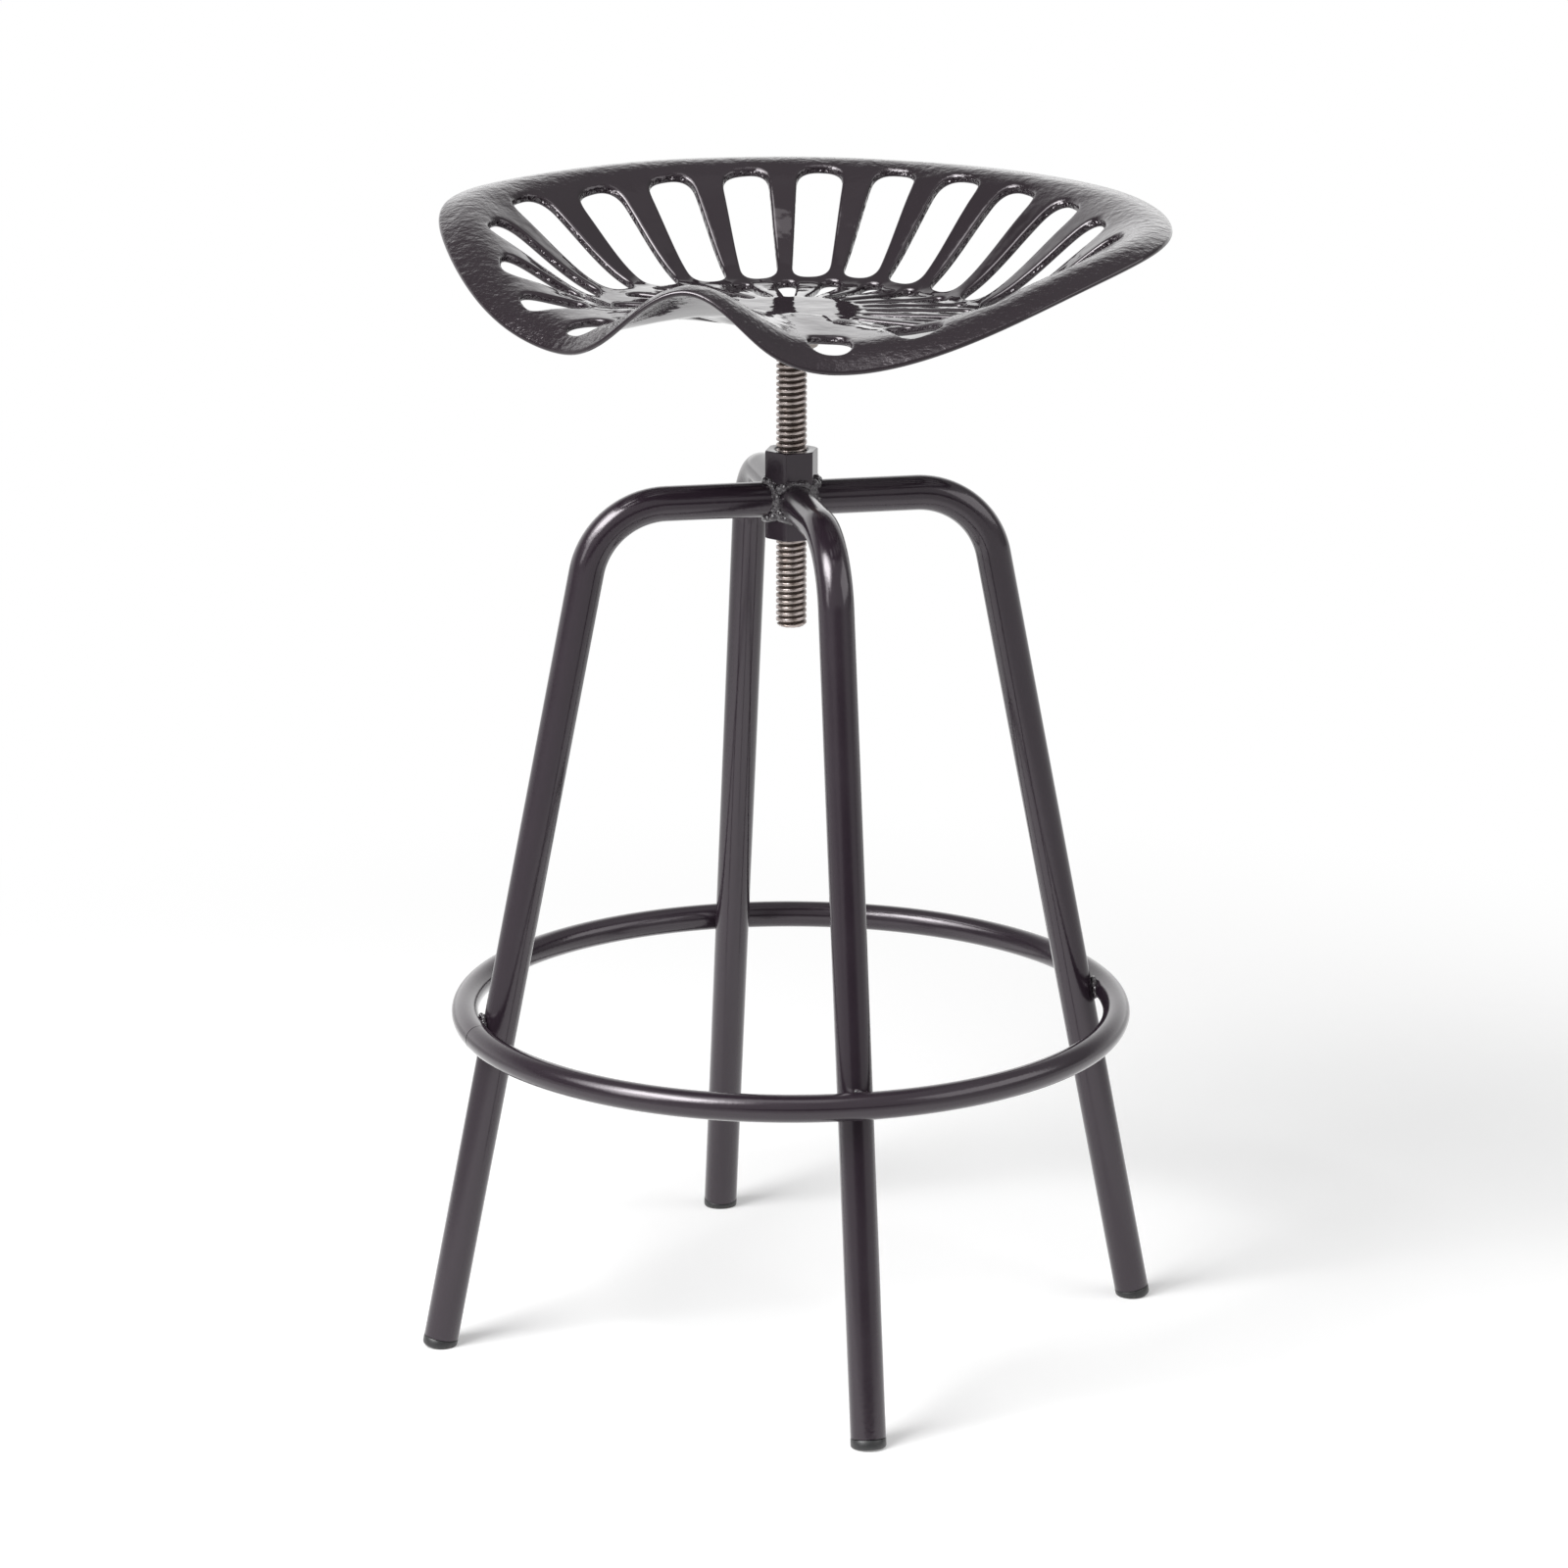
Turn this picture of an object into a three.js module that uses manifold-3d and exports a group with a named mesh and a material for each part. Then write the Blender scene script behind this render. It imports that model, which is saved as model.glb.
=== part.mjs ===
// Tractor seat stool: a slotted cast pan on a screw spindle, over four bent tube legs and a foot ring.
// Millimetres, +Z up from the floor, the pan's front towards -Y.
import * as THREE from 'three';
import { mergeVertices } from 'three/addons/utils/BufferGeometryUtils.js';
import Module from 'manifold-3d';

const wasm = await Module();
wasm.setup();

const { degToRad, smoothstep } = THREE.MathUtils;

// Clearance between pieces that touch, and the overrun of every cutting tool
const gap = 0.3;
const overrun = 5;
// Corners closer together than this are one corner
const cornerReach = 0.0003;

// Legs: bent tubes, level at the hub and splayed below the bend
const armHeight = 566;
const legReach = 238.8;
const legTilt = 11.17;
const legBend = 53.5;
const legDiameter = 23;
const legWall = 2;
const legTurn = -57;
const legSides = 14;
const legBoreSides = 8;
const bendSteps = 9;
const legNames = ['front_right', 'rear_right', 'rear_left', 'front_left'];

// Foot plugs: a spigot up the tube and a rounded lip, worn flat on the floor
const plugLip = 7;
const plugRound = 2.4;
const plugRoundShare = 0.3;
const plugSpigot = 16;
const plugSpigotTaper = 1.5;
const plugSink = 1.2;
const plugSides = 16;

// Foot ring: one bent tube round the outside of the legs, butted at a seam beside the front left leg
const ringHeight = 220.3;
const ringDiameter = 18.3;
const ringWall = 1.6;
const ringSeam = 0.6;
const seamTurn = 7.6;
const ringSteps = 48;
const ringSides = 12;
const ringBoreSides = 7;

// Hub: a long hexagon nut, its flats a little off the legs
const nutFlats = 31.4;
const nutLength = 58;
const nutBelowArm = 25.4;
const nutTurn = 6.5;
const nutChamfer = 1.2;

// Weld beads at the hub and at the ring
const hubBead = 3.6;
const hubBeadReach = 4.5;
const beadSides = 12;
const ringBeadSpread = 9;
const ringBeadDepth = 5.5;
const ringBeadHeight = 8.5;
const beadArcSteps = 6;

// Screw spindle
const screwDiameter = 20;
const screwBelowNut = 59.4;
const screwChamfer = 1.8;
const screwSides = 24;

// Lock nut and washer under the pan's boss
const lockFlats = 30;
const lockHeight = 7.6;
const lockChamfer = 1;
const washerDiameter = 34;
const washerHeight = 2;
const washerSides = 24;

// Pan: a casting of one thickness over a level plate, its bed sunk at the back and raised at the
// front, swept up to the rim
const plateAboveNut = 91.4;
const panHalfWidth = 246;
const panRise = 69.7;
const panWall = 6;
const edgeWall = 4;
const bedRise = 16.8;
const rollFall = 13.4;
const bossDiameter = 42;
const bossFoot = 38;
const bossDepth = 14;
const screwEntry = 9;
const panTurns = 56;
const bossSides = 30;

// Rim, every 15 degrees from the back round to the front and alike on both sides: reach of the half
// width, bed over the plate, crest over the bed, and fall of the rolled edge below the crest
const reachShares = [0.917, 0.921, 0.945, 0.968, 0.982, 0.999, 1, 0.927, 0.859, 0.812, 0.78, 0.788, 0.751];
const bedShares = [-0.21, -0.21, -0.21, -0.18, -0.07, 0.06, 0.09, 0.03, 0.18, 0.575, 0.85, 0.955, 1];
const crestShares = [
  0.992, 0.996, 0.987, 0.98, 0.944, 0.894, 0.839, 0.663, 0.365, 0.087, -0.047, 0.145, 0.61,
];
const rollShares = [0.19, 0.19, 0.2, 0.25, 0.29, 0.29, 0.35, 0.424, 0.48, 0.783, 1, 0.788, 0.608];
// Where the wall starts and ends its climb, of the reach
const wallFootShares = [
  0.46, 0.463, 0.475, 0.478, 0.492, 0.513, 0.492, 0.485, 0.474, 0.5, 0.476, 0.435, 0.459,
];
const wallTopShares = [0.985, 0.957, 0.943, 0.948, 0.966, 0.98, 0.967, 0.96, 0.95, 0.93, 0.926, 1.004, 1.18];
// Where the edge starts to roll and to thin, and where the bed leaves the plate and runs level
const rollStartShare = 0.857;
const bedFootShares = [0.18, 0.5];
// Rings of the pan's skin, of the reach
const ringShares = [0.18, 0.34, 0.48, 0.57, 0.64, 0.71, 0.78, 0.85, 0.91, 0.96, 1];
const slopeStepShare = 0.001;
// Rings of the round edge, of the way from the upper face to the underside
const edgeDepthShares = [0.25, 0.75];

// Outer slots, one at the centre of the back and the rest in pairs
const slotPairCount = 9;
const slotPitchTurn = 15.15;
const slotSpreadTurn = 0.02;
const slotOuterHalf = 19.4;
const slotInnerHalf = 15;
const slotCutShare = 0.88;
const slotCornerSteps = 3;
// Ends of each slot, of the half width, and its half widths, of the two sizes above,
// from the one at the back to the short pair at the front
const slotTipShares = [0.82, 0.807, 0.809, 0.82, 0.831, 0.871, 0.831, 0.764, 0.743, 0.728];
const slotFootShares = [0.495, 0.491, 0.499, 0.503, 0.506, 0.526, 0.536, 0.554, 0.568, 0.612];
const outerHalfShares = [0.776, 0.832, 0.834, 0.852, 0.88, 0.94, 0.96, 0.99, 0.873, 0.74];
const innerHalfShares = [0.78, 0.81, 0.775, 0.795, 0.84, 0.97, 1, 0.846, 0.58, 0.817];

// Teardrops between the slots, narrow towards the middle: ends, of the half width, and half widths
const dropFootShare = 0.196;
const dropTipShare = 0.475;
const dropInnerHalf = 2.6;
const dropOuterHalf = 7;
const dropCornerSteps = 2;

const gloss = { color: 0x2b282d, roughness: 0.22, metalness: 0.1 };
const castGloss = { color: 0x1f1c20, roughness: 0.18, metalness: 0.15 };
const bareSteel = { color: 0x6f6259, roughness: 0.35, metalness: 1 };
const darkPlastic = { color: 0x161616, roughness: 0.6, metalness: 0 };

const tilt = degToRad(legTilt);
const legRadius = legDiameter / 2;
const ringRadius = ringDiameter / 2;
const screwRadius = screwDiameter / 2;
const nutBottom = armHeight - nutBelowArm;
const nutTop = nutBottom + nutLength;
const plateHeight = nutTop + plateAboveNut;
const legPitch = 360 / legNames.length;

// Distance of a leg's axis from the middle, along its straight run
const legAxisAt = (height) => legReach - height * Math.tan(tilt);

// Solids from geometry and back

function solidOf(geometry) {
  const bare = new THREE.BufferGeometry();
  bare.setAttribute('position', geometry.getAttribute('position'));
  if (geometry.index) bare.setIndex(geometry.index);
  const merged = mergeVertices(bare, cornerReach);
  return new wasm.Manifold(new wasm.Mesh({
    numProp: 3,
    vertProperties: new Float32Array(merged.getAttribute('position').array),
    triVerts: new Uint32Array(merged.index.array),
  }));
}

function geometryOf(solid) {
  const mesh = solid.getMesh();
  const geometry = new THREE.BufferGeometry();
  const places = new Float32Array(mesh.numVert * 3);
  for (let i = 0; i < mesh.numVert; i += 1) {
    places.set(mesh.vertProperties.subarray(i * mesh.numProp, i * mesh.numProp + 3), i * 3);
  }
  geometry.setAttribute('position', new THREE.BufferAttribute(places, 3));
  geometry.setIndex(new THREE.BufferAttribute(new Uint32Array(mesh.triVerts), 1));
  return geometry;
}

// Profile of [radius, height] pairs turned round the Z axis
function turned(profile, sides) {
  const points = profile.map(([radius, height]) => new THREE.Vector2(radius, height));
  const geometry = new THREE.LatheGeometry(points, sides);
  geometry.rotateX(Math.PI / 2);
  return geometry;
}

// Radius of a bore's corners, so that its flats stay clear of a round of the given radius
const boreCorner = (radius, sides) => (radius + gap) / Math.cos(Math.PI / sides);

// Hexagon bar with chamfered ends, standing on the given height
function hexBar(flats, bottom, height, chamfer) {
  const corner = flats / 2 / Math.cos(Math.PI / 6);
  const top = bottom + height;
  const bar = turned([[0, bottom], [corner, bottom], [corner, top], [0, top]], 6);
  if (chamfer === 0) return solidOf(bar);
  const drop = chamfer * Math.tan(Math.PI / 6);
  const turnedBlank = turned([
    [0, bottom],
    [corner - chamfer, bottom],
    [corner, bottom + drop],
    [corner, top - drop],
    [corner - chamfer, top],
    [0, top],
  ], screwSides);
  return solidOf(bar).intersect(solidOf(turnedBlank));
}

// Turns a hexagon's first corner round to one side of the flat that faces along X
const flatToX = 30;

function turnedZ(solid, degrees) {
  return solid.rotate([0, 0, degrees]);
}

// Path through given stations, with a given direction at each, for a section swept along it
class StationPath extends THREE.Curve {
  constructor(stations) {
    super();
    this.stations = stations;
  }

  station(share) {
    return this.stations[Math.round(share * (this.stations.length - 1))];
  }

  getPointAt(share, target = new THREE.Vector3()) {
    return target.copy(this.station(share).place);
  }

  getTangentAt(share, target = new THREE.Vector3()) {
    return target.copy(this.station(share).along);
  }
}

function sweptRound(stations, radius, sides) {
  const section = new THREE.Shape();
  for (let i = 0; i < sides; i += 1) {
    const turn = (i + 0.5) / sides * Math.PI * 2;
    const x = radius * Math.cos(turn);
    const y = radius * Math.sin(turn);
    if (i === 0) section.moveTo(x, y);
    else section.lineTo(x, y);
  }
  section.closePath();
  return solidOf(new THREE.ExtrudeGeometry(section, {
    steps: stations.length - 1,
    extrudePath: new StationPath(stations),
  }));
}

// Legs

// Stations of a leg's centreline in its own XZ plane, from the hub to the foot
function legStations(footHeight) {
  const turnThrough = Math.PI / 2 - tilt;
  const knee = legAxisAt(armHeight);
  const bendStart = knee - legBend * Math.tan(turnThrough / 2);
  const stations = [{ place: new THREE.Vector3(0, 0, armHeight), along: new THREE.Vector3(1, 0, 0) }];
  for (let i = 0; i <= bendSteps; i += 1) {
    const turn = turnThrough * i / bendSteps;
    stations.push({
      place: new THREE.Vector3(
        bendStart + legBend * Math.sin(turn),
        0,
        armHeight - legBend * (1 - Math.cos(turn)),
      ),
      along: new THREE.Vector3(Math.cos(turn), 0, -Math.sin(turn)),
    });
  }
  stations.push({
    place: new THREE.Vector3(legAxisAt(footHeight), 0, footHeight),
    along: new THREE.Vector3(Math.sin(tilt), 0, -Math.cos(tilt)),
  });
  return stations;
}

// The plug's underside meets the floor a little above the bottom of its disc
const plugBottom = -plugSink;
const tubeEnd = plugBottom + (plugLip + gap) * Math.cos(tilt);

function legSolid(turn) {
  const outside = sweptRound(legStations(tubeEnd), legRadius, legSides);
  const boreEnd = tubeEnd - overrun;
  const bore = sweptRound(legStations(boreEnd), legRadius - legWall, legBoreSides);
  const hub = turnedZ(
    hexBar(nutFlats + gap * 2, nutBottom - overrun, nutLength + overrun * 2, 0),
    nutTurn + flatToX - turn,
  );
  return outside.subtract(hub).subtract(bore);
}

function plugSolid() {
  const spigotCorner = (legRadius - legWall) * Math.cos(Math.PI / legBoreSides) - gap;
  const lipTop = plugLip;
  const spigotTop = plugLip + plugSpigot;
  const plug = turned([
    [0, 0],
    [legRadius - plugRound, 0],
    [legRadius - plugRound * plugRoundShare, plugRound * plugRoundShare],
    [legRadius, plugRound],
    [legRadius, lipTop],
    [spigotCorner, lipTop],
    [spigotCorner, spigotTop - plugSpigotTaper],
    [spigotCorner - plugSpigotTaper, spigotTop],
    [0, spigotTop],
  ], plugSides);
  plug.rotateY(-tilt);
  plug.translate(legAxisAt(plugBottom), 0, plugBottom);
  const floorReach = legDiameter * 2;
  const floor = new THREE.BoxGeometry(floorReach, floorReach, floorReach);
  floor.translate(legReach, 0, -floorReach / 2);
  return solidOf(plug).subtract(solidOf(floor));
}

// Foot ring

const ringReach = legAxisAt(ringHeight) + (legRadius + ringRadius + gap) / Math.cos(tilt);
const ringSeamTurn = legTurn + legPitch * legNames.indexOf('front_left') + seamTurn;

function ringStations(endGap) {
  const start = degToRad(ringSeamTurn) + endGap / ringReach;
  const sweep = Math.PI * 2 - endGap * 2 / ringReach;
  const stations = [];
  for (let i = 0; i <= ringSteps; i += 1) {
    const turn = start + sweep * i / ringSteps;
    stations.push({
      place: new THREE.Vector3(ringReach * Math.cos(turn), ringReach * Math.sin(turn), ringHeight),
      along: new THREE.Vector3(-Math.sin(turn), Math.cos(turn), 0),
    });
  }
  return stations;
}

function ringSolid() {
  const outside = sweptRound(ringStations(ringSeam / 2), ringRadius, ringSides);
  const bore = sweptRound(ringStations(ringSeam / 4), ringRadius - ringWall, ringBoreSides);
  return outside.subtract(bore);
}

// Hub nut with its screw bore, countersunk at both ends
function hubSolid() {
  const corner = boreCorner(screwRadius, screwSides);
  const bore = turned([
    [0, nutBottom - overrun],
    [corner + nutChamfer + overrun, nutBottom - overrun],
    [corner, nutBottom + nutChamfer],
    [corner, nutTop - nutChamfer],
    [corner + nutChamfer + overrun, nutTop + overrun],
    [0, nutTop + overrun],
  ], screwSides);
  const bar = hexBar(nutFlats, nutBottom, nutLength, nutChamfer);
  return turnedZ(bar, flatToX + legTurn + nutTurn).subtract(solidOf(bore));
}

// Bead round one leg where it meets the hub, kept inside that leg's quarter of the hub
function hubBeadSolid(turn) {
  const hubCorner = nutFlats / 2 / Math.cos(Math.PI / 6);
  const innerEnd = nutFlats / 4;
  const outerEnd = hubCorner + hubBeadReach;
  const crest = legRadius + hubBead;
  const bead = turned([
    [0, innerEnd],
    [crest, innerEnd],
    [crest, nutFlats / 2 + gap],
    [legRadius + hubBead / 2, hubCorner + hubBeadReach / 2],
    [legRadius + gap, outerEnd],
    [0, outerEnd],
  ], beadSides);
  bead.rotateY(Math.PI / 2);
  bead.translate(0, 0, armHeight);
  const quarter = new THREE.Shape();
  const side = outerEnd * 2;
  const half = Math.tan(degToRad(legPitch / 2));
  quarter.moveTo(gap, 0);
  quarter.lineTo(side + gap, -side * half);
  quarter.lineTo(side + gap, side * half);
  quarter.closePath();
  const wedge = new THREE.ExtrudeGeometry(quarter, { depth: nutLength * 2, bevelEnabled: false });
  wedge.translate(0, 0, armHeight - nutLength);
  const tube = sweptRound(legStations(tubeEnd), boreCorner(legRadius, legSides), legSides);
  const hub = turnedZ(
    hexBar(nutFlats + gap * 2, nutBottom - overrun, nutLength + overrun * 2, 0),
    nutTurn + flatToX - turn,
  );
  return solidOf(bead).intersect(solidOf(wedge)).subtract(hub).subtract(tube);
}

// Bead round the point where the ring crosses one leg
function ringBeadSolid() {
  const contact = ringReach - (ringRadius + gap / 2) / Math.cos(tilt);
  const lump = new THREE.SphereGeometry(1, beadSides, beadSides / 2);
  lump.scale(ringBeadDepth, ringBeadSpread, ringBeadHeight);
  lump.translate(contact, 0, ringHeight);
  const tube = sweptRound(legStations(tubeEnd), boreCorner(legRadius, legSides), legSides);
  const arcTurn = ringBeadSpread * 2 / ringReach;
  const arc = [];
  for (let i = 0; i <= beadArcSteps; i += 1) {
    const turn = arcTurn * (i * 2 / beadArcSteps - 1);
    arc.push({
      place: new THREE.Vector3(ringReach * Math.cos(turn), ringReach * Math.sin(turn), ringHeight),
      along: new THREE.Vector3(-Math.sin(turn), Math.cos(turn), 0),
    });
  }
  const ring = sweptRound(arc, boreCorner(ringRadius, ringSides), ringSides);
  return solidOf(lump).subtract(tube).subtract(ring);
}

// Spindle, lock nut and washer

const plateUnderside = plateHeight - panWall;
const bossBottom = plateUnderside - (bossDepth - panWall);
const screwTop = bossBottom + screwEntry;
const washerTop = bossBottom - gap;
const lockTop = washerTop - washerHeight - gap;

function spindleGeometry() {
  const bottom = nutBottom - screwBelowNut;
  return turned([
    [0, bottom],
    [screwRadius - screwChamfer, bottom],
    [screwRadius, bottom + screwChamfer],
    [screwRadius, screwTop - screwChamfer],
    [screwRadius - screwChamfer, screwTop],
    [0, screwTop],
  ], screwSides);
}

function screwBore(bottom, top) {
  const corner = boreCorner(screwRadius, screwSides);
  return solidOf(turned([[0, bottom], [corner, bottom], [corner, top], [0, top]], screwSides));
}

function washerSolid() {
  const radius = washerDiameter / 2;
  const bottom = washerTop - washerHeight;
  const disc = turned([[0, bottom], [radius, bottom], [radius, washerTop], [0, washerTop]], washerSides);
  return solidOf(disc).subtract(screwBore(bottom - overrun, washerTop + overrun));
}

function lockNutSolid() {
  const bottom = lockTop - lockHeight;
  const bar = hexBar(lockFlats, bottom, lockHeight, lockChamfer);
  return bar.subtract(screwBore(bottom - overrun, lockTop + overrun));
}

// Pan. Turns are measured from the back, round to each side

// Value of a rim table at a turn, on a smooth curve through its entries
function aroundRim(shares, turn) {
  const last = shares.length - 1;
  const folded = Math.abs(THREE.MathUtils.euclideanModulo(turn + 180, 360) - 180);
  const place = folded / 180 * last;
  const first = Math.min(Math.floor(place), last - 1);
  const at = (index) => shares[index > last ? 2 * last - index : Math.abs(index)];
  const t = place - first;
  const p = at(first);
  const q = at(first + 1);
  const pSlope = (q - at(first - 1)) / 2;
  const qSlope = (at(first + 2) - p) / 2;
  const rise = q - p;
  return p + t * (pSlope + t * (3 * rise - 2 * pSlope - qSlope + t * (pSlope + qSlope - 2 * rise)));
}

// Reach of the upper face; the round edge makes up the rest of the half width
const reachAt = (turn) => panHalfWidth * aroundRim(reachShares, turn) - edgeWall / 2;

// Height of the pan's upper face
function faceHeight(turn, share) {
  const bed = bedRise * aroundRim(bedShares, turn) * smoothstep(share, bedFootShares[0], bedFootShares[1]);
  const climb = smoothstep(share, aroundRim(wallFootShares, turn), aroundRim(wallTopShares, turn));
  const wall = panRise * aroundRim(crestShares, turn) * climb;
  const rolled = Math.max(0, (share - rollStartShare) / (1 - rollStartShare));
  const roll = rollFall * aroundRim(rollShares, turn) * rolled * rolled;
  return plateHeight + bed + wall - roll;
}

// Point of the pan's skin: depth 0 is the upper face and 1 the underside, square to the face
function skinPoint(turn, share, depth) {
  const reach = reachAt(turn);
  const before = faceHeight(turn, share - slopeStepShare);
  const slope = (faceHeight(turn, share) - before) / (slopeStepShare * reach);
  const thin = (panWall - edgeWall) * smoothstep(share, rollStartShare, 1);
  const inward = (panWall - thin) * depth / Math.hypot(1, slope);
  const out = reach * share + inward * slope;
  const angle = degToRad(turn);
  return new THREE.Vector3(out * Math.sin(angle), out * Math.cos(angle), faceHeight(turn, share) - inward);
}

// Round edge of the rim: a point part way through the wall, pushed out past the last ring
function edgePoint(turn, depth) {
  const inner = skinPoint(turn, 1 - slopeStepShare, depth);
  const point = skinPoint(turn, 1, depth);
  const outward = point.clone().sub(inner).normalize();
  return point.addScaledVector(outward, edgeWall / 2 * Math.sin(Math.PI * depth));
}

// Closed skin through rows of points, each row one ring round the Z axis, with a pole at each end
function closedRings(firstPole, rows, lastPole) {
  const places = [firstPole, ...rows.flat(), lastPole];
  const width = rows[0].length;
  const faces = [];
  const at = (row, i) => 1 + row * width + i % width;
  for (let i = 0; i < width; i += 1) {
    faces.push(0, at(0, i + 1), at(0, i));
    for (let row = 0; row < rows.length - 1; row += 1) {
      faces.push(at(row, i), at(row, i + 1), at(row + 1, i));
      faces.push(at(row, i + 1), at(row + 1, i + 1), at(row + 1, i));
    }
    faces.push(at(rows.length - 1, i), at(rows.length - 1, i + 1), places.length - 1);
  }
  const geometry = new THREE.BufferGeometry().setFromPoints(places);
  geometry.setIndex(faces);
  return geometry;
}

function panSkin() {
  const turns = Array.from({ length: panTurns }, (_, i) => i * 360 / panTurns);
  const upper = ringShares.map((share) => turns.map((turn) => skinPoint(turn, share, 0)));
  const edge = edgeDepthShares.map((depth) => turns.map((turn) => edgePoint(turn, depth)));
  const under = ringShares.map((share) => turns.map((turn) => skinPoint(turn, share, 1))).reverse();
  return closedRings(
    new THREE.Vector3(0, 0, plateHeight),
    [...upper, ...edge, ...under],
    new THREE.Vector3(0, 0, plateUnderside),
  );
}

// Outline of a tapered slot along +Y, its four corners rounded
function slotShape(foot, tip, innerHalf, outerHalf) {
  const corners = [
    [new THREE.Vector2(-innerHalf, foot), innerHalf * slotCutShare],
    [new THREE.Vector2(innerHalf, foot), innerHalf * slotCutShare],
    [new THREE.Vector2(outerHalf, tip), outerHalf * slotCutShare],
    [new THREE.Vector2(-outerHalf, tip), outerHalf * slotCutShare],
  ];
  const shape = new THREE.Shape();
  corners.forEach(([corner, cut], i) => {
    const before = corners[(i + 3) % 4][0];
    const after = corners[(i + 1) % 4][0];
    const enter = before.clone().sub(corner).setLength(cut).add(corner);
    const leave = after.clone().sub(corner).setLength(cut).add(corner);
    if (i === 0) shape.moveTo(enter.x, enter.y);
    else shape.lineTo(enter.x, enter.y);
    shape.quadraticCurveTo(corner.x, corner.y, leave.x, leave.y);
  });
  shape.closePath();
  return shape;
}

function slotCutter(turn, cornerSteps, shape) {
  const bottom = bossBottom - overrun;
  const top = plateHeight + panRise + overrun;
  const cutter = new THREE.ExtrudeGeometry(shape, {
    depth: top - bottom,
    bevelEnabled: false,
    curveSegments: cornerSteps,
  });
  cutter.rotateZ(-degToRad(turn));
  cutter.translate(0, 0, bottom);
  return solidOf(cutter);
}

const slotTurn = (place) => slotPitchTurn * place + slotSpreadTurn * place * place * place;

function slotCutters() {
  const cutters = [];
  for (let place = -slotPairCount; place <= slotPairCount; place += 1) {
    const turn = slotTurn(place);
    const pair = Math.abs(place);
    cutters.push(slotCutter(turn, slotCornerSteps, slotShape(
      panHalfWidth * slotFootShares[pair],
      panHalfWidth * slotTipShares[pair],
      slotInnerHalf * innerHalfShares[pair],
      slotOuterHalf * outerHalfShares[pair],
    )));
  }
  return cutters;
}

function dropCutters() {
  const cutters = [];
  for (let place = 0.5 - slotPairCount; place < slotPairCount; place += 1) {
    cutters.push(slotCutter(slotTurn(place), dropCornerSteps, slotShape(
      panHalfWidth * dropFootShare,
      panHalfWidth * dropTipShare,
      dropInnerHalf,
      dropOuterHalf,
    )));
  }
  return cutters;
}

function panSolid() {
  const boss = turned([
    [0, bossBottom],
    [bossFoot / 2, bossBottom],
    [bossDiameter / 2, plateUnderside],
    [bossDiameter / 2, plateHeight - panWall / 2],
    [0, plateHeight - panWall / 2],
  ], bossSides);
  let pan = solidOf(panSkin()).add(solidOf(boss));
  pan = pan.subtract(screwBore(bossBottom - overrun, screwTop + gap));
  for (const cutter of [...slotCutters(), ...dropCutters()]) pan = pan.subtract(cutter);
  return pan;
}

// The stool

function piece(name, geometry, look) {
  const shown = geometry.index ? geometry.toNonIndexed() : geometry;
  shown.computeVertexNormals();
  const mesh = new THREE.Mesh(shown, new THREE.MeshStandardMaterial(look));
  mesh.name = name;
  return mesh;
}

const stool = new THREE.Group();

legNames.forEach((name, i) => {
  const turn = i * legPitch;
  const quarter = new THREE.Group();
  quarter.rotation.z = degToRad(legTurn + turn);
  quarter.add(piece(`leg_${name}`, geometryOf(legSolid(turn)), gloss));
  quarter.add(piece(`foot_plug_${name}`, geometryOf(plugSolid()), darkPlastic));
  quarter.add(piece(`hub_weld_${name}`, geometryOf(hubBeadSolid(turn)), gloss));
  quarter.add(piece(`ring_weld_${name}`, geometryOf(ringBeadSolid()), gloss));
  stool.add(quarter);
});

stool.add(piece('hub_nut', geometryOf(hubSolid()), gloss));
stool.add(piece('foot_ring', geometryOf(ringSolid()), gloss));
stool.add(piece('screw_spindle', spindleGeometry(), bareSteel));
stool.add(piece('boss_washer', geometryOf(washerSolid()), bareSteel));
stool.add(piece('lock_nut', geometryOf(lockNutSolid()), bareSteel));
stool.add(piece('seat_pan', geometryOf(panSolid()), castGloss));

export default stool;
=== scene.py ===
import bpy
import math
import numpy as np
from mathutils import Matrix, Vector
from mathutils.geometry import delaunay_2d_cdt


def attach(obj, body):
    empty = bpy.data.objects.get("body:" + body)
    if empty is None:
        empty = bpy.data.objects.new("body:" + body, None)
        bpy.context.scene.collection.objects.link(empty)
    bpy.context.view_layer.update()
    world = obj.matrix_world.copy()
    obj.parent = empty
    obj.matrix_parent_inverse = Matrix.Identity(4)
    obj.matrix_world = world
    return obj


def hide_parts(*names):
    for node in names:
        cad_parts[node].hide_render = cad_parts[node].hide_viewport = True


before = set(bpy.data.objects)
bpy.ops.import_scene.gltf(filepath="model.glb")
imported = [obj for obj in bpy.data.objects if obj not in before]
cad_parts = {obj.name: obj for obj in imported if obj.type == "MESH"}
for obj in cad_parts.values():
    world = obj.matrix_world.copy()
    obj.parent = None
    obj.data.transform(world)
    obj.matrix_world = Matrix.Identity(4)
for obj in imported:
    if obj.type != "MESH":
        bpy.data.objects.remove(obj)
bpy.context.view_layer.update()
print("frame loaded")

mm = 0.001

# Camera of the photograph: long lens, a little above the seat
view = {
    "turn": 21.0,        # degrees round from the front, towards +X
    "elevation": 15.26,
    "distance": 3.958,
    "aimHeight": 0.3734,
    "aimAside": -0.00464,
    "roll": 0.063,
    "lens": 138.1,
}


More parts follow.
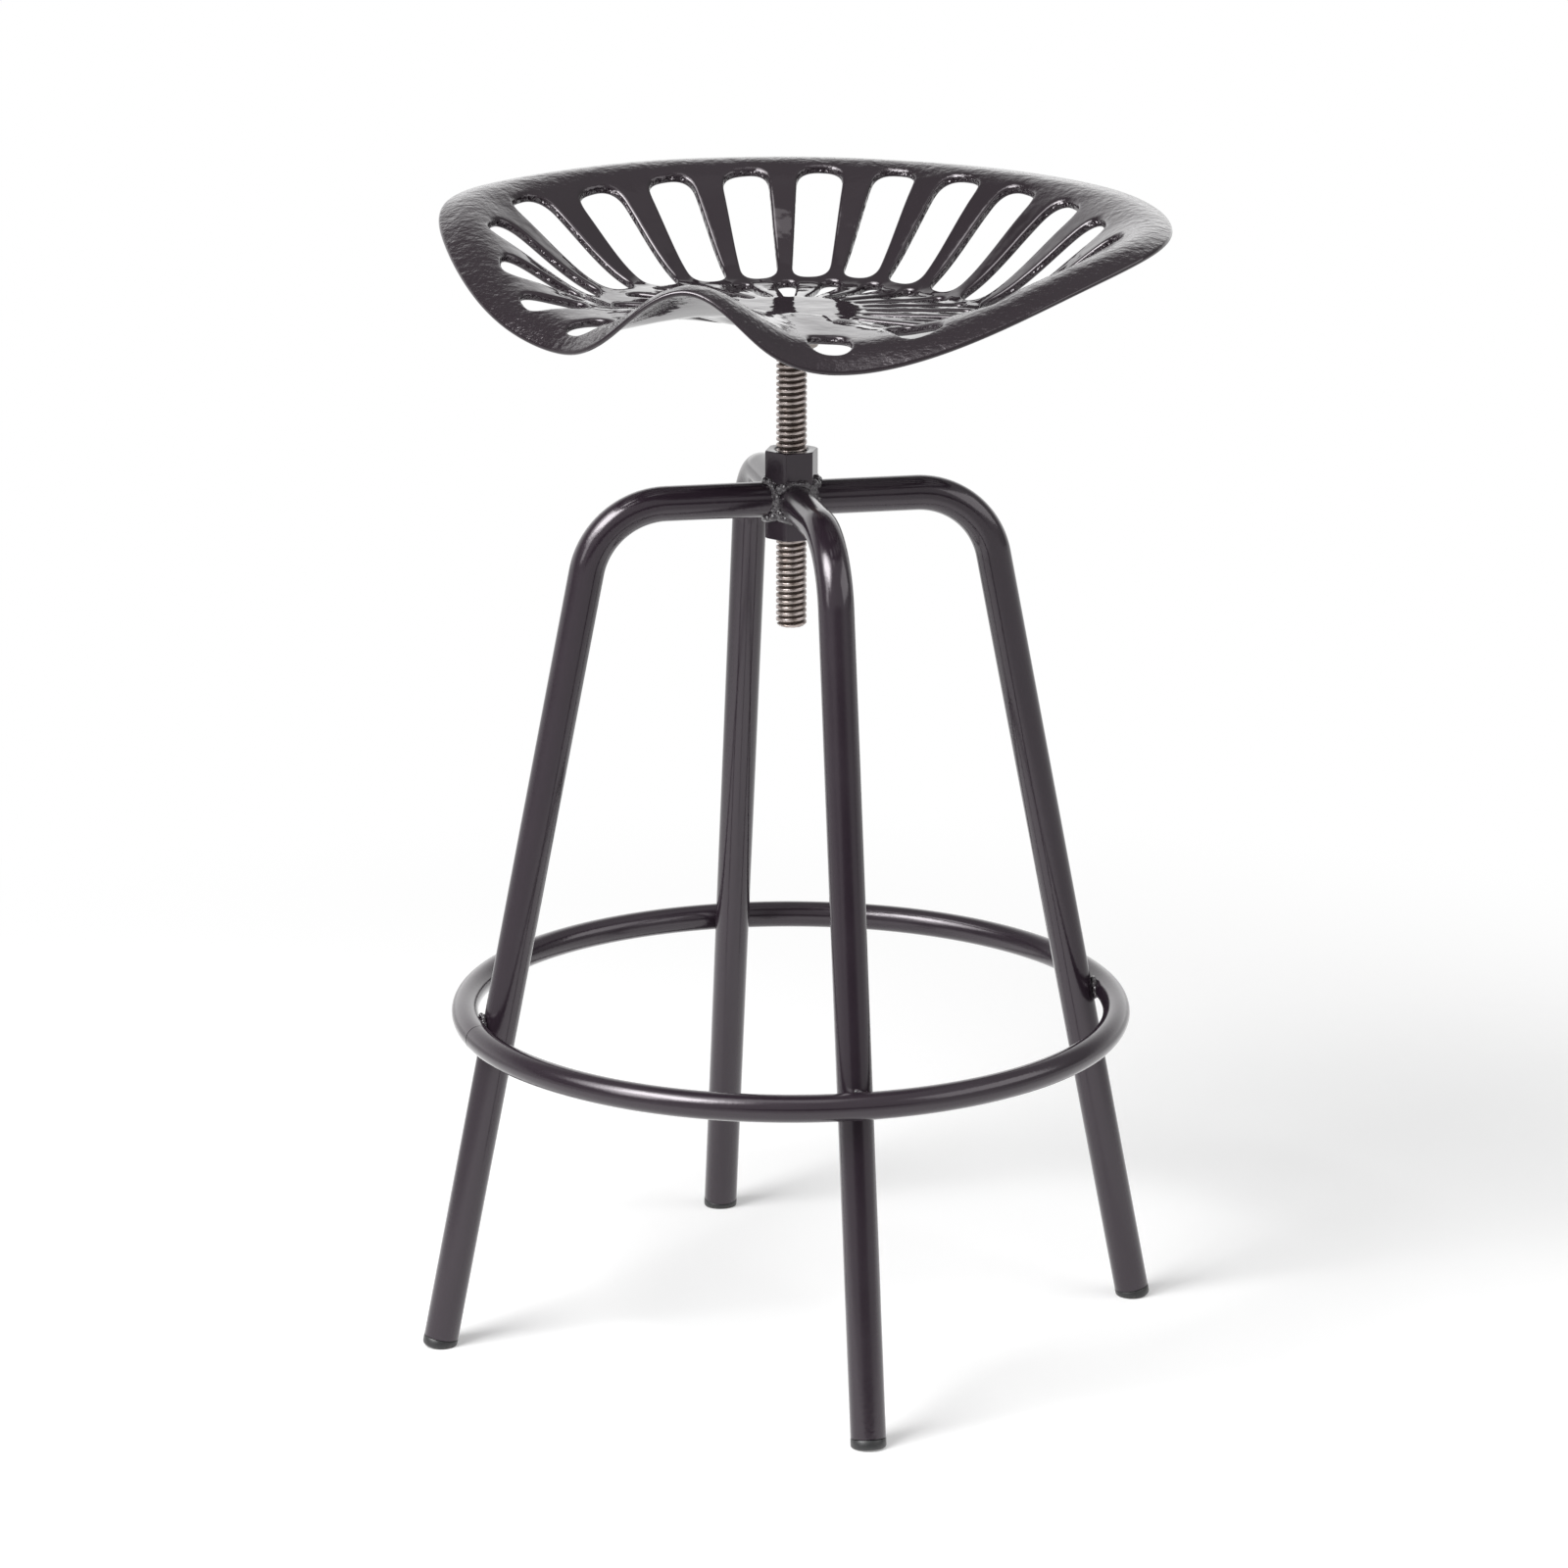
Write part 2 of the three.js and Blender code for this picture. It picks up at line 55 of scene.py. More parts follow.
def placeCamera(values):
    turn, rise = math.radians(values["turn"]), math.radians(values["elevation"])
    back = Vector((math.sin(turn) * math.cos(rise), -math.cos(turn) * math.cos(rise), math.sin(rise)))
    right = Vector((math.cos(turn), math.sin(turn), 0))
    aim = right * values["aimAside"] + Vector((0, 0, values["aimHeight"]))
    data = bpy.data.cameras.new("photoCamera")
    data.lens = values["lens"]
    data.sensor_width = 36
    data.clip_end = 60
    camera = bpy.data.objects.new("photoCamera", data)
    camera.location = aim + back * values["distance"]
    look = (-back).to_track_quat("-Z", "Y").to_matrix()
    camera.rotation_euler = (look @ Matrix.Rotation(math.radians(values["roll"]), 3, "Z")).to_euler()
    bpy.context.collection.objects.link(camera)
    bpy.context.scene.camera = camera


placeCamera(view)

# Node helpers, for shaders and Geometry Nodes alike


def addNode(tree, kind, inputs=None, **settings):
    node = tree.nodes.new(kind)
    for key, value in settings.items():
        setattr(node, key, value)
    for key, value in (inputs or {}).items():
        socket = node.inputs[key]
        if isinstance(value, bpy.types.NodeSocket):
            tree.links.new(value, socket)
        else:
            socket.default_value = value
    return node


def mathNode(tree, operation, first, second=0.0):
    return addNode(tree, "ShaderNodeMath", {0: first, 1: second}, operation=operation).outputs[0]


def vectorNode(tree, operation, first, second=(0, 0, 0)):
    return addNode(tree, "ShaderNodeVectorMath", {0: first, 1: second}, operation=operation).outputs


def ranged(tree, value, low, high, fromLow=0.0, fromHigh=1.0, smooth=False):
    return addNode(tree, "ShaderNodeMapRange", {
        "Value": value, "From Min": fromLow, "From Max": fromHigh, "To Min": low, "To Max": high,
    }, interpolation_type="SMOOTHSTEP" if smooth else "LINEAR").outputs["Result"]


def noiseOf(tree, place, scale, detail=3, rough=0.5):
    return addNode(tree, "ShaderNodeTexNoise", {
        "Vector": place, "Scale": scale, "Detail": detail, "Roughness": rough,
    }).outputs["Fac"]


def blendedColour(tree, amount, first, second):
    first, second = ((*c, 1) if isinstance(c, tuple) else c for c in (first, second))
    return addNode(tree, "ShaderNodeMix", {"Factor": amount, 6: first, 7: second}, data_type="RGBA").outputs[2]


def bumped(tree, height, depth, strength=1.0, under=None):
    inputs = {"Height": height, "Distance": depth, "Strength": strength}
    if under is not None:
        inputs["Normal"] = under
    return addNode(tree, "ShaderNodeBump", inputs).outputs["Normal"]


# Bump from noise of a given scale and depth in metres
def noiseBump(tree, place, size, detail, strength=1.0, under=None, rough=0.5):
    scale, depth = size
    return bumped(tree, noiseOf(tree, place, scale, detail, rough), depth, strength, under)


def stretched(tree, place, scale):
    return addNode(tree, "ShaderNodeMapping", {"Vector": place, "Scale": scale}).outputs["Vector"]


def attributeOf(tree, name):
    return addNode(tree, "ShaderNodeAttribute", attribute_name=name).outputs["Fac"]


def newMaterial(name):
    material = bpy.data.materials.new(name)
    material.use_nodes = True
    tree = material.node_tree
    tree.nodes.clear()
    return material, tree, addNode(tree, "ShaderNodeTexCoord").outputs["Object"]


def finishMaterial(material, looks):
    shader = addNode(material.node_tree, "ShaderNodeBsdfPrincipled", looks)
    addNode(material.node_tree, "ShaderNodeOutputMaterial", {"Surface": shader.outputs["BSDF"]})
    return material


# Gloss black paint over tube: a faint orange peel and a few dull patches
tubePaint = {
    "black": (0.0172, 0.0105, 0.0165),
    "worn": (0.0248, 0.0172, 0.024),
    "tint": (1.0, 0.945, 0.99, 1.0),
    "rough": (0.13, 0.2),
    "patches": 22.0,
    "patchRange": (0.35, 0.7),
    "peel": (420.0, 0.00005),      # scale, and depth in metres, as for every bump below
    "dust": (1600.0, 0.00002),
}


def makeTubePaint(values):
    material, tree, place = newMaterial("glossTubePaint")
    patches = noiseOf(tree, place, values["patches"], 4)
    peel = noiseBump(tree, place, values["peel"], 2)
    return finishMaterial(material, {
        "Base Color": blendedColour(tree, patches, values["black"], values["worn"]),
        "Roughness": ranged(tree, patches, *values["rough"], *values["patchRange"]),
        "Normal": noiseBump(tree, place, values["dust"], 1, 0.5, peel),
        "Specular Tint": values["tint"],
    })


# Weld beads under the same paint: crumpled and thick
weldPaint = {
    "rough": (0.08, 0.2),
    "foldRange": (0.3, 0.7),
    "folds": (260.0, 0.006),
    "lumps": (900.0, 0.0001),
    "coatRough": 0.05,
}


def makeWeldPaint(values, paint):
    material, tree, place = newMaterial("weldPaint")
    scale, depth = values["folds"]
    folds = noiseOf(tree, place, scale, 4, 0.6)
    return finishMaterial(material, {
        "Base Color": blendedColour(tree, folds, paint["black"], paint["worn"]),
        "Roughness": ranged(tree, folds, *values["rough"], *values["foldRange"]),
        "Normal": noiseBump(tree, place, values["lumps"], 2, 0.6, bumped(tree, folds, depth)),
        "Specular Tint": paint["tint"],
        "Coat Weight": 1.0,
        "Coat Roughness": values["coatRough"],
    })


# Gloss black paint over a casting: pebbled near the rim, smooth in the middle, wavy on the slot walls
castPaint = {
    "black": (0.0094, 0.0045, 0.0078),
    "pale": (0.0152, 0.0095, 0.0137),
    "tint": (1.0, 0.945, 0.985, 1.0),
    "rough": (0.06, 0.12),
    "rimRange": (0.76, 0.97),      # share of the way out over which the casting turns rough
    "patches": 14.0,
    "patchRange": (0.3, 0.7),
    "swell": (48.0, 0.0007),
    "sand": (300.0, 0.0002),
    "pits": (150.0, 0.001),
    "streaks": (4.0, 0.0005),
    "streakScale": (40.0, 40.0, 190.0),
    "waves": (190.0, 0.006),
}


def makeCastPaint(values):
    material, tree, place = newMaterial("glossCastPaint")
    rimward = ranged(tree, attributeOf(tree, "outward"), 0.0, 1.0, *values["rimRange"], True)
    patches = noiseOf(tree, place, values["patches"], 4)
    dull = mathNode(tree, "MULTIPLY", rimward, ranged(tree, patches, 0.3, 1.0, *values["patchRange"]))
    drawn = stretched(tree, place, values["streakScale"])
    skin = noiseBump(tree, place, values["swell"], 2)
    skin = noiseBump(tree, place, values["sand"], 4, mathNode(tree, "ADD", rimward, 0.1), skin, 0.62)
    skin = noiseBump(tree, place, values["pits"], 3, mathNode(tree, "MULTIPLY", rimward, 0.8), skin)
    skin = noiseBump(tree, drawn, values["streaks"], 3, mathNode(tree, "MULTIPLY", rimward, 0.7), skin)
    return finishMaterial(material, {
        "Base Color": blendedColour(tree, patches, values["black"], values["pale"]),
        "Roughness": ranged(tree, dull, *values["rough"]),
        "Normal": noiseBump(tree, place, values["waves"], 2, attributeOf(tree, "cut"), skin),
        "Specular Tint": values["tint"],
    })


# Bare screw steel: lighter on the crests, darker, browner and rougher in the roots
screwSteel = {
    "crest": (0.41, 0.36, 0.345),
    "root": (0.085, 0.066, 0.057),
    "stain": (0.19, 0.15, 0.125),
    "rough": (0.55, 0.27),         # root, crest
    "stains": 160.0,
    "stainRange": (0.4, 0.75),
    "drawn": (1.0, 0.00008),
    "drawnScale": (250.0, 250.0, 4000.0),
}


def makeScrewSteel(values):
    material, tree, place = newMaterial("oiledScrewSteel")
    crest = attributeOf(tree, "crest")
    stains = ranged(tree, noiseOf(tree, place, values["stains"], 4), 0.0, 0.8, *values["stainRange"])
    metal = blendedColour(tree, stains, values["crest"], values["stain"])
    return finishMaterial(material, {
        "Base Color": blendedColour(tree, crest, values["root"], metal),
        "Roughness": ranged(tree, crest, *values["rough"]),
        "Normal": noiseBump(tree, stretched(tree, place, values["drawnScale"]), values["drawn"], 2),
        "Metallic": 1.0,
    })


nutSteel = {
    "pale": (0.33, 0.30, 0.28),
    "stain": (0.15, 0.12, 0.10),
    "rough": (0.28, 0.5),
    "stains": 130.0,
    "turned": (1.0, 0.00006),
    "turnedScale": (300.0, 300.0, 3000.0),
}


def makeNutSteel(values):
    material, tree, place = newMaterial("plainNutSteel")
    stains = noiseOf(tree, place, values["stains"], 4)
    return finishMaterial(material, {
        "Base Color": blendedColour(tree, stains, values["pale"], values["stain"]),
        "Roughness": ranged(tree, stains, *values["rough"]),
        "Normal": noiseBump(tree, stretched(tree, place, values["turnedScale"]), values["turned"], 2),
        "Metallic": 1.0,
    })


# Moulded plastic of the foot plugs, scuffed where it meets the floor
plugPlastic = {
    "black": (0.014, 0.014, 0.015),
    "scuffed": (0.085, 0.08, 0.075),
    "rough": (0.42, 0.7),
    "scuffHeight": 0.0022,
    "scrapeScale": (600.0, 600.0, 120.0),
    "scrapeRange": (0.45, 0.62),
    "grain": (1400.0, 0.00006),
}


def makePlugPlastic(values):
    material, tree, place = newMaterial("mouldedPlugPlastic")
    height = addNode(tree, "ShaderNodeSeparateXYZ", {0: place}).outputs["Z"]
    low = ranged(tree, height, 1.0, 0.0, 0.0, values["scuffHeight"], True)
    scrapes = noiseOf(tree, stretched(tree, place, values["scrapeScale"]), 1.0)
    scuff = mathNode(tree, "MULTIPLY", low, ranged(tree, scrapes, 0.0, 1.0, *values["scrapeRange"]))
    return finishMaterial(material, {
        "Base Color": blendedColour(tree, scuff, values["black"], values["scuffed"]),
        "Roughness": ranged(tree, scuff, *values["rough"]),
        "Normal": noiseBump(tree, place, values["grain"], 2),
    })


tubeLook = makeTubePaint(tubePaint)
weldLook = makeWeldPaint(weldPaint, tubePaint)
castLook = makeCastPaint(castPaint)
screwLook = makeScrewSteel(screwSteel)
nutLook = makeNutSteel(nutSteel)
plugLook = makePlugPlastic(plugPlastic)
print("finishes made")

# Mesh and piece helpers


def newTree(name, inputs):
    tree = bpy.data.node_groups.new(name, "GeometryNodeTree")
    tree.interface.new_socket("Geometry", in_out="INPUT", socket_type="NodeSocketGeometry")
    for label, kind, value in inputs:
        socket = tree.interface.new_socket(label, in_out="INPUT", socket_type="NodeSocket" + kind)
        if value is not None:
            socket.default_value = value
    tree.interface.new_socket("Geometry", in_out="OUTPUT", socket_type="NodeSocketGeometry")
    given = tree.nodes.new("NodeGroupInput").outputs
    result = tree.nodes.new("NodeGroupOutput").inputs
    return tree, given, result


def finishTree(tree, result, shape, look):
    whole = addNode(tree, "GeometryNodeRealizeInstances", {"Geometry": shape})
    dressed = addNode(tree, "GeometryNodeSetMaterial", {"Geometry": whole.outputs[0], "Material": look})
    tree.links.new(dressed.outputs[0], result[0])


def smoothed(mesh, sharp):
    mesh.shade_smooth()
    mesh.set_sharp_from_angle(angle=math.radians(sharp))


# Runs a tree on a base mesh and keeps the result as a plain mesh
def grown(name, base, tree, values, sharp=35):
    piece = bpy.data.objects.new(name, base)
    bpy.context.collection.objects.link(piece)
    modifier = piece.modifiers.new("grow", "NODES")
    modifier.node_group = tree
    for item in tree.interface.items_tree:
        if item.name in values and item.in_out == "INPUT":
            modifier[item.identifier] = values[item.name]
    bpy.context.view_layer.update()
    graph = bpy.context.evaluated_depsgraph_get()
    ready = piece.evaluated_get(graph)
    mesh = bpy.data.meshes.new_from_object(ready, preserve_all_data_layers=True, depsgraph=graph)
    piece.modifiers.remove(modifier)
    piece.data = mesh
    mesh.name = name
    smoothed(mesh, sharp)
    return piece


def meshOf(name, points, faces, edges=()):
    mesh = bpy.data.meshes.new(name)
    mesh.from_pydata([tuple(p) for p in points], list(edges), [tuple(f) for f in faces])
    mesh.update()
    return mesh


def pathMesh(name, points, closed=False):
    count = len(points)
    edges = [(i, (i + 1) % count) for i in range(count if closed else count - 1)]
    return meshOf(name, points, [], edges)


def addPiece(name, mesh, look, sharp=35):
    piece = bpy.data.objects.new(name, mesh)
    bpy.context.collection.objects.link(piece)
    mesh.materials.append(look)
    smoothed(mesh, sharp)
    return piece


def placed(piece, body, slot, *nodes):
    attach(piece, body)
    if nodes:
        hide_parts(*nodes)


# Tube of a given diameter along a path
def tubeTree():
    tree, given, result = newTree("tubeAlongPath", [
        ("Diameter", "Float", 0.02),
        ("Sides", "Int", 48),
        ("Material", "Material", None),
    ])
    path = addNode(tree, "GeometryNodeMeshToCurve", {"Mesh": given["Geometry"]})
    radius = mathNode(tree, "MULTIPLY", given["Diameter"], 0.5)
    ring = addNode(tree, "GeometryNodeCurvePrimitiveCircle", {"Resolution": given["Sides"], "Radius": radius})
    tube = addNode(tree, "GeometryNodeCurveToMesh", {
        "Curve": path.outputs[0],
        "Profile Curve": ring.outputs[0],
        "Fill Caps": True,
    })
    finishTree(tree, result, tube.outputs[0], given["Material"])
    return tree


tubeRun = tubeTree()

# Legs: level at the hub, one bend, splayed down to the plugs
leg = {
    "armHeight": 566.0,
    "reach": 238.8,
    "tilt": 11.17,
    "bend": 53.5,
    "diameter": 23.0,
    "start": 13.0,
    "end": 5.96,
    "bendSteps": 28,
    "sides": 56,
    "turn": -57.0,
}
legNames = ["front_right", "rear_right", "rear_left", "front_left"]
legTilt = math.radians(leg["tilt"])


def legAxisAt(height):
    return leg["reach"] - height * math.tan(legTilt)


def legTurnOf(index):
    return math.radians(leg["turn"] + 90 * index)


def turnedRound(points, angle):
    c, s = math.cos(angle), math.sin(angle)
    return [Vector((c * x - s * y, s * x + c * y, z)) * mm for x, y, z in points]


def legPath():
    through = math.pi / 2 - legTilt
    start = legAxisAt(leg["armHeight"]) - leg["bend"] * math.tan(through / 2)
    points = [(leg["start"], 0, leg["armHeight"])]
    for i in range(leg["bendSteps"] + 1):
        a = through * i / leg["bendSteps"]
        points.append((start + leg["bend"] * math.sin(a), 0, leg["armHeight"] - leg["bend"] * (1 - math.cos(a))))
    points.append((legAxisAt(leg["end"]), 0, leg["end"]))
    return points


for index, name in enumerate(legNames):
    base = pathMesh("legPath", turnedRound(legPath(), legTurnOf(index)))
    tube = grown("leg_tube_" + name, base, tubeRun, {
        "Diameter": leg["diameter"] * mm, "Sides": leg["sides"], "Material": tubeLook,
    })
    placed(tube, "frame", "frame_paint", "leg_" + name)
print("legs made")

# Foot plugs: rounded lip, worn flat on the floor
plug = {
    "lip": 7.0,
    "round": 2.4,
    "roundSteps": 8,
    "shoulder": [(0, 0.5), (0.4, 0.1), (2.4, 0)],   # in from the side, down from the lip's top
    "spigot": 9.0,
    "spigotIn": 2.5,
    "sink": 1.2,
    "steps": 64,
}


# Pairs of radius and height, from the middle of the sole up to the middle of the spigot's end
def plugProfile():
    radius = leg["diameter"] / 2
    profile = [(0, 0), (radius - plug["round"], 0)]
    for i in range(1, plug["roundSteps"] + 1):
        a = math.pi / 2 * i / plug["roundSteps"]
        profile.append((radius - plug["round"] * (1 - math.sin(a)), plug["round"] * (1 - math.cos(a))))
    profile += [(radius - inward, plug["lip"] - down) for inward, down in plug["shoulder"]]
    end = plug["lip"] + plug["spigot"]
    return profile + [(radius - plug["spigotIn"], end), (0, end)]


# Leans a point as its leg does, and wears flat what would be under the floor
def plugPoint(point, turn):
    lean = Matrix.Rotation(-legTilt, 3, "Y") @ point
    moved = lean + Vector((legAxisAt(-plug["sink"]), 0, -plug["sink"]))
    moved.z = max(moved.z, 0)
    return Matrix.Rotation(turn, 3, "Z") @ moved * mm


def plugMesh(name, turn):
    profile, steps = plugProfile(), plug["steps"]
    angles = np.arange(steps) * 2 * math.pi / steps
    points, faces = [], []
    for radius, height in profile[1:-1]:
        points += [(radius * math.cos(a), radius * math.sin(a), height) for a in angles]
    rows = len(profile) - 2
    first, last = len(points), len(points) + 1
    points += [(0, 0, profile[0][1]), (0, 0, profile[-1][1])]
    for i in range(steps):
        j = (i + 1) % steps
        faces.append((first, j, i))
        faces.append((last, (rows - 1) * steps + i, (rows - 1) * steps + j))
        for row in range(rows - 1):
            low = row * steps
            faces.append((low + i, low + j, low + steps + j, low + steps + i))
    return meshOf(name, [plugPoint(Vector(p), turn) for p in points], faces)


for index, name in enumerate(legNames):
    cap = addPiece("foot_cap_" + name, plugMesh("foot_cap_" + name, legTurnOf(index)), plugLook, 50)
    placed(cap, "frame", "plug_plastic", "foot_plug_" + name)
print("foot plugs made")

# Foot ring: one bent tube with a butt seam beside the front left leg
footRing = {
    "height": 220.3,
    "reach": 216.2,
    "diameter": 17.9,
    "seam": 0.6,
    "seamTurn": 7.6,     # degrees on from the front left leg
    "steps": 240,
    "sides": 40,
}


def ringPath():
    reach = footRing["reach"]
    halfSeam = footRing["seam"] / 2 / reach
    seamAt = legTurnOf(legNames.index("front_left")) + math.radians(footRing["seamTurn"])
    points = []
    for i in range(footRing["steps"] + 1):
        a = seamAt + halfSeam + (2 * math.pi - 2 * halfSeam) * i / footRing["steps"]
        points.append(Vector((reach * math.cos(a), reach * math.sin(a), footRing["height"])) * mm)
    return points


ringTube = grown("foot_ring_tube", pathMesh("ringPath", ringPath()), tubeRun, {
    "Diameter": footRing["diameter"] * mm, "Sides": footRing["sides"], "Material": tubeLook,
})
placed(ringTube, "frame", "frame_paint", "foot_ring")
print("foot ring made")

# Hub nut: long hexagon bar with soft corners, a chamfer at each end and the screw's bore
hubNut = {
    "flats": 31.4,
    "bottom": 540.6,
    "length": 58.0,
    "turn": -50.5,
    "corner": 0.9,
    "chamfer": 1.2,
    "bore": 10.5,
    "mouth": [(0, 1.5), (1.1, 0.1), (1.5, 0)],   # out from the bore, down from the end
    "endRound": 0.35,
    "depths": [0, 0.12, 0.25, 0.4, 0.55],        # rows of the wall near each end
    "steps": 16,
}


def hexRadius(angle, flats, corner):
    apothem = flats / 2
    folded = (angle + math.pi / 6) % (math.pi / 3) - math.pi / 6
    sharp = apothem / math.cos(folded)
    # Distance to a circle of the corner's radius, set inside the hexagon's corner
    hub = (apothem - corner) / math.cos(math.pi / 6)
    off = math.pi / 6 - abs(folded)
    inside = corner ** 2 - (hub * math.sin(off)) ** 2
    if inside <= 0:
        return sharp
    return min(sharp, hub * math.cos(off) + math.sqrt(inside))


def hexTurns(steps):
    turns = []
    for side in range(6):
        for i in range(steps):
            spread = 0.5 - 0.5 * math.cos(math.pi * i / steps)   # closer together at the corners
            turns.append((side + 0.5 + spread) * math.pi / 3)
    return turns


def hubMesh():
    bottom, top = hubNut["bottom"], hubNut["bottom"] + hubNut["length"]
    widest = hubNut["flats"] / 2 / math.cos(math.pi / 6)
    turns = hexTurns(hubNut["steps"])
    spin = math.radians(hubNut["turn"])
    points, faces = [], []

    def addRing(radii, height):
        for turn, r in zip(turns, radii):
            points.append((r * math.cos(turn + spin), r * math.sin(turn + spin), height))

    def wallRadii(depth):
        cone = widest - hubNut["chamfer"] + depth / math.tan(math.pi / 6)
        inset = hubNut["endRound"] * max(0, 1 - depth / hubNut["endRound"]) ** 2
        return [min(hexRadius(turn, hubNut["flats"], hubNut["corner"]) - inset, cone) for turn in turns]

    rings = [([hubNut["bore"] + out] * len(turns), depth) for out, depth in hubNut["mouth"]]
    coneEnd = hubNut["chamfer"] * math.tan(math.pi / 6)
    rings += [(wallRadii(depth), depth) for depth in hubNut["depths"] + [coneEnd + 0.1]]
    for radii, depth in rings:
        addRing(radii, top - depth)
    for radii, depth in reversed(rings):
        addRing(radii, bottom + depth)
    width, rows = len(turns), 2 * len(rings)
    for row in range(rows):
        following = (row + 1) % rows
        for i in range(width):
            j = (i + 1) % width
            faces.append((row * width + i, following * width + i, following * width + j, row * width + j))
    return meshOf("hub_body", [Vector(p) * mm for p in points], faces)


hub = addPiece("hub_body", hubMesh(), tubeLook, 25)
placed(hub, "frame", "frame_paint", "hub_nut")
print("hub made")

# Weld beads: overlapping ripples along a path, run together
weldRipple = {
    "size": (0.78, 1.16),
    "shift": 0.0009,
    "swell": (0.78, 0.3),    # least size, and what is added at the two sides of the joint
    "band": 0.002,
    "cut": 0.2,
}
hubWeld = {"ripple": 4.0, "spacing": 1.5, "out": -0.4, "off": 0.9, "steps": 72, "seed": 5}
ringWeld = {"ripple": 2.3, "spacing": 2.0, "spread": 5.6, "height": 6.4, "off": 0.3, "steps": 40, "seed": 21}


def randomVector(tree, low, high, seed):
    return addNode(tree, "FunctionNodeRandomValue", {
        "Min": (low,) * 3, "Max": (high,) * 3, "Seed": seed,
    }, data_type="FLOAT_VECTOR").outputs["Value"]


def weldTree(values):
    tree, given, result = newTree("weldBead", [
        ("Ripple", "Float", 0.003),
        ("Spacing", "Float", 0.002),
        ("Grid", "Float", 0.0005),
        ("Seed", "Int", 3),
        ("Material", "Material", None),
    ])

    def at(operation, first, second=0.0):
        return mathNode(tree, operation, first, second)

    path = addNode(tree, "GeometryNodeMeshToCurve", {"Mesh": given["Geometry"]})
    spaced = addNode(tree, "GeometryNodeResampleCurve", {
        "Curve": path.outputs[0], "Length": given["Spacing"],
    }, mode="LENGTH")
    lump = addNode(tree, "GeometryNodeMeshIcoSphere", {"Radius": given["Ripple"], "Subdivisions": 3})
    sizes = randomVector(tree, *values["size"], given["Seed"])
    shifts = randomVector(tree, -values["shift"], values["shift"], at("ADD", given["Seed"], 11.0))
    shaken = addNode(tree, "GeometryNodeSetPosition", {"Geometry": spaced.outputs[0], "Offset": shifts})
    # The loop starts at one side of the joint, where the bead is thickest
    turn = at("MULTIPLY", addNode(tree, "GeometryNodeSplineParameter").outputs["Factor"], 2 * math.pi)
    least, extra = values["swell"]
    swell = at("ADD", least, at("MULTIPLY", at("ABSOLUTE", at("COSINE", turn)), extra))
    scales = addNode(tree, "ShaderNodeVectorMath", {0: sizes, "Scale": swell}, operation="SCALE")
    ripples = addNode(tree, "GeometryNodeInstanceOnPoints", {
        "Points": shaken.outputs[0],
        "Instance": lump.outputs[0],
        "Scale": scales.outputs["Vector"],
    })
    solid = addNode(tree, "GeometryNodeRealizeInstances", {"Geometry": ripples.outputs[0]})
    cloud = addNode(tree, "GeometryNodeMeshToVolume", {
        "Mesh": solid.outputs[0],
        "Voxel Size": given["Grid"],
        "Density": 1.0,
        "Interior Band Width": values["band"],
    }, resolution_mode="VOXEL_SIZE")
    skin = addNode(tree, "GeometryNodeVolumeToMesh", {
        "Volume": cloud.outputs[0],
        "Voxel Size": given["Grid"],
        "Threshold": values["cut"],
        "Adaptivity": 0.0,
    }, resolution_mode="VOXEL_SIZE")
    finishTree(tree, result, skin.outputs[0], given["Material"])
    return tree


# Loop where a leg tube meets the hexagon, a little off both
def hubWeldPath(index):
    radius = leg["diameter"] / 2 + hubWeld["off"]
    points = []
    for i in range(hubWeld["steps"]):
        a = 2 * math.pi * i / hubWeld["steps"]
        across, up = radius * math.cos(a), radius * math.sin(a)
        reach = math.inf
        for side in range(6):
            normal = math.radians(hubNut["turn"] - leg["turn"] - 90 * index + 60 * side)
            if math.cos(normal) > 0.2:   # sides that face along the leg
                reach = min(reach, (hubNut["flats"] / 2 - math.sin(normal) * across) / math.cos(normal))
        points.append((reach + hubWeld["out"], across, leg["armHeight"] + up))
    return points


# Loop round the point where the ring crosses a leg
def ringWeldPath(index):
    touch = legAxisAt(footRing["height"]) + (leg["diameter"] / 2 + ringWeld["off"]) / math.cos(legTilt)
    points = []
    for i in range(ringWeld["steps"]):
        a = 2 * math.pi * i / ringWeld["steps"]
        across, up = ringWeld["spread"] * math.cos(a), ringWeld["height"] * math.sin(a)
        points.append((touch - up * math.tan(legTilt) / 2, across, footRing["height"] + up))
    return points


weldRun = weldTree(weldRipple)
for index, name in enumerate(legNames):
    for kind, weld, pathOf in (("hub", hubWeld, hubWeldPath), ("ring", ringWeld, ringWeldPath)):
        base = pathMesh(kind + "WeldPath", turnedRound(pathOf(index), legTurnOf(index)), True)
        bead = grown(kind + "_bead_" + name, base, weldRun, {
            "Ripple": weld["ripple"] * mm,
            "Spacing": weld["spacing"] * mm,
            "Seed": weld["seed"] + index,
            "Material": weldLook,
        }, 80)
        placed(bead, "frame", "frame_paint", kind + "_weld_" + name)
print("welds made")

# Screw thread: a sheet of helical rows, with its ends drawn in to the axis
spindle = {
    "bottom": 481.2,
    "top": 685.0,
    "crest": 20.0,
    "root": 16.2,
    "pitch": 4.0,
    "chamfer": 1.8,
    "flank": (0.38, 0.86),   # where the side of a thread starts and ends, as shares of half a pitch
}


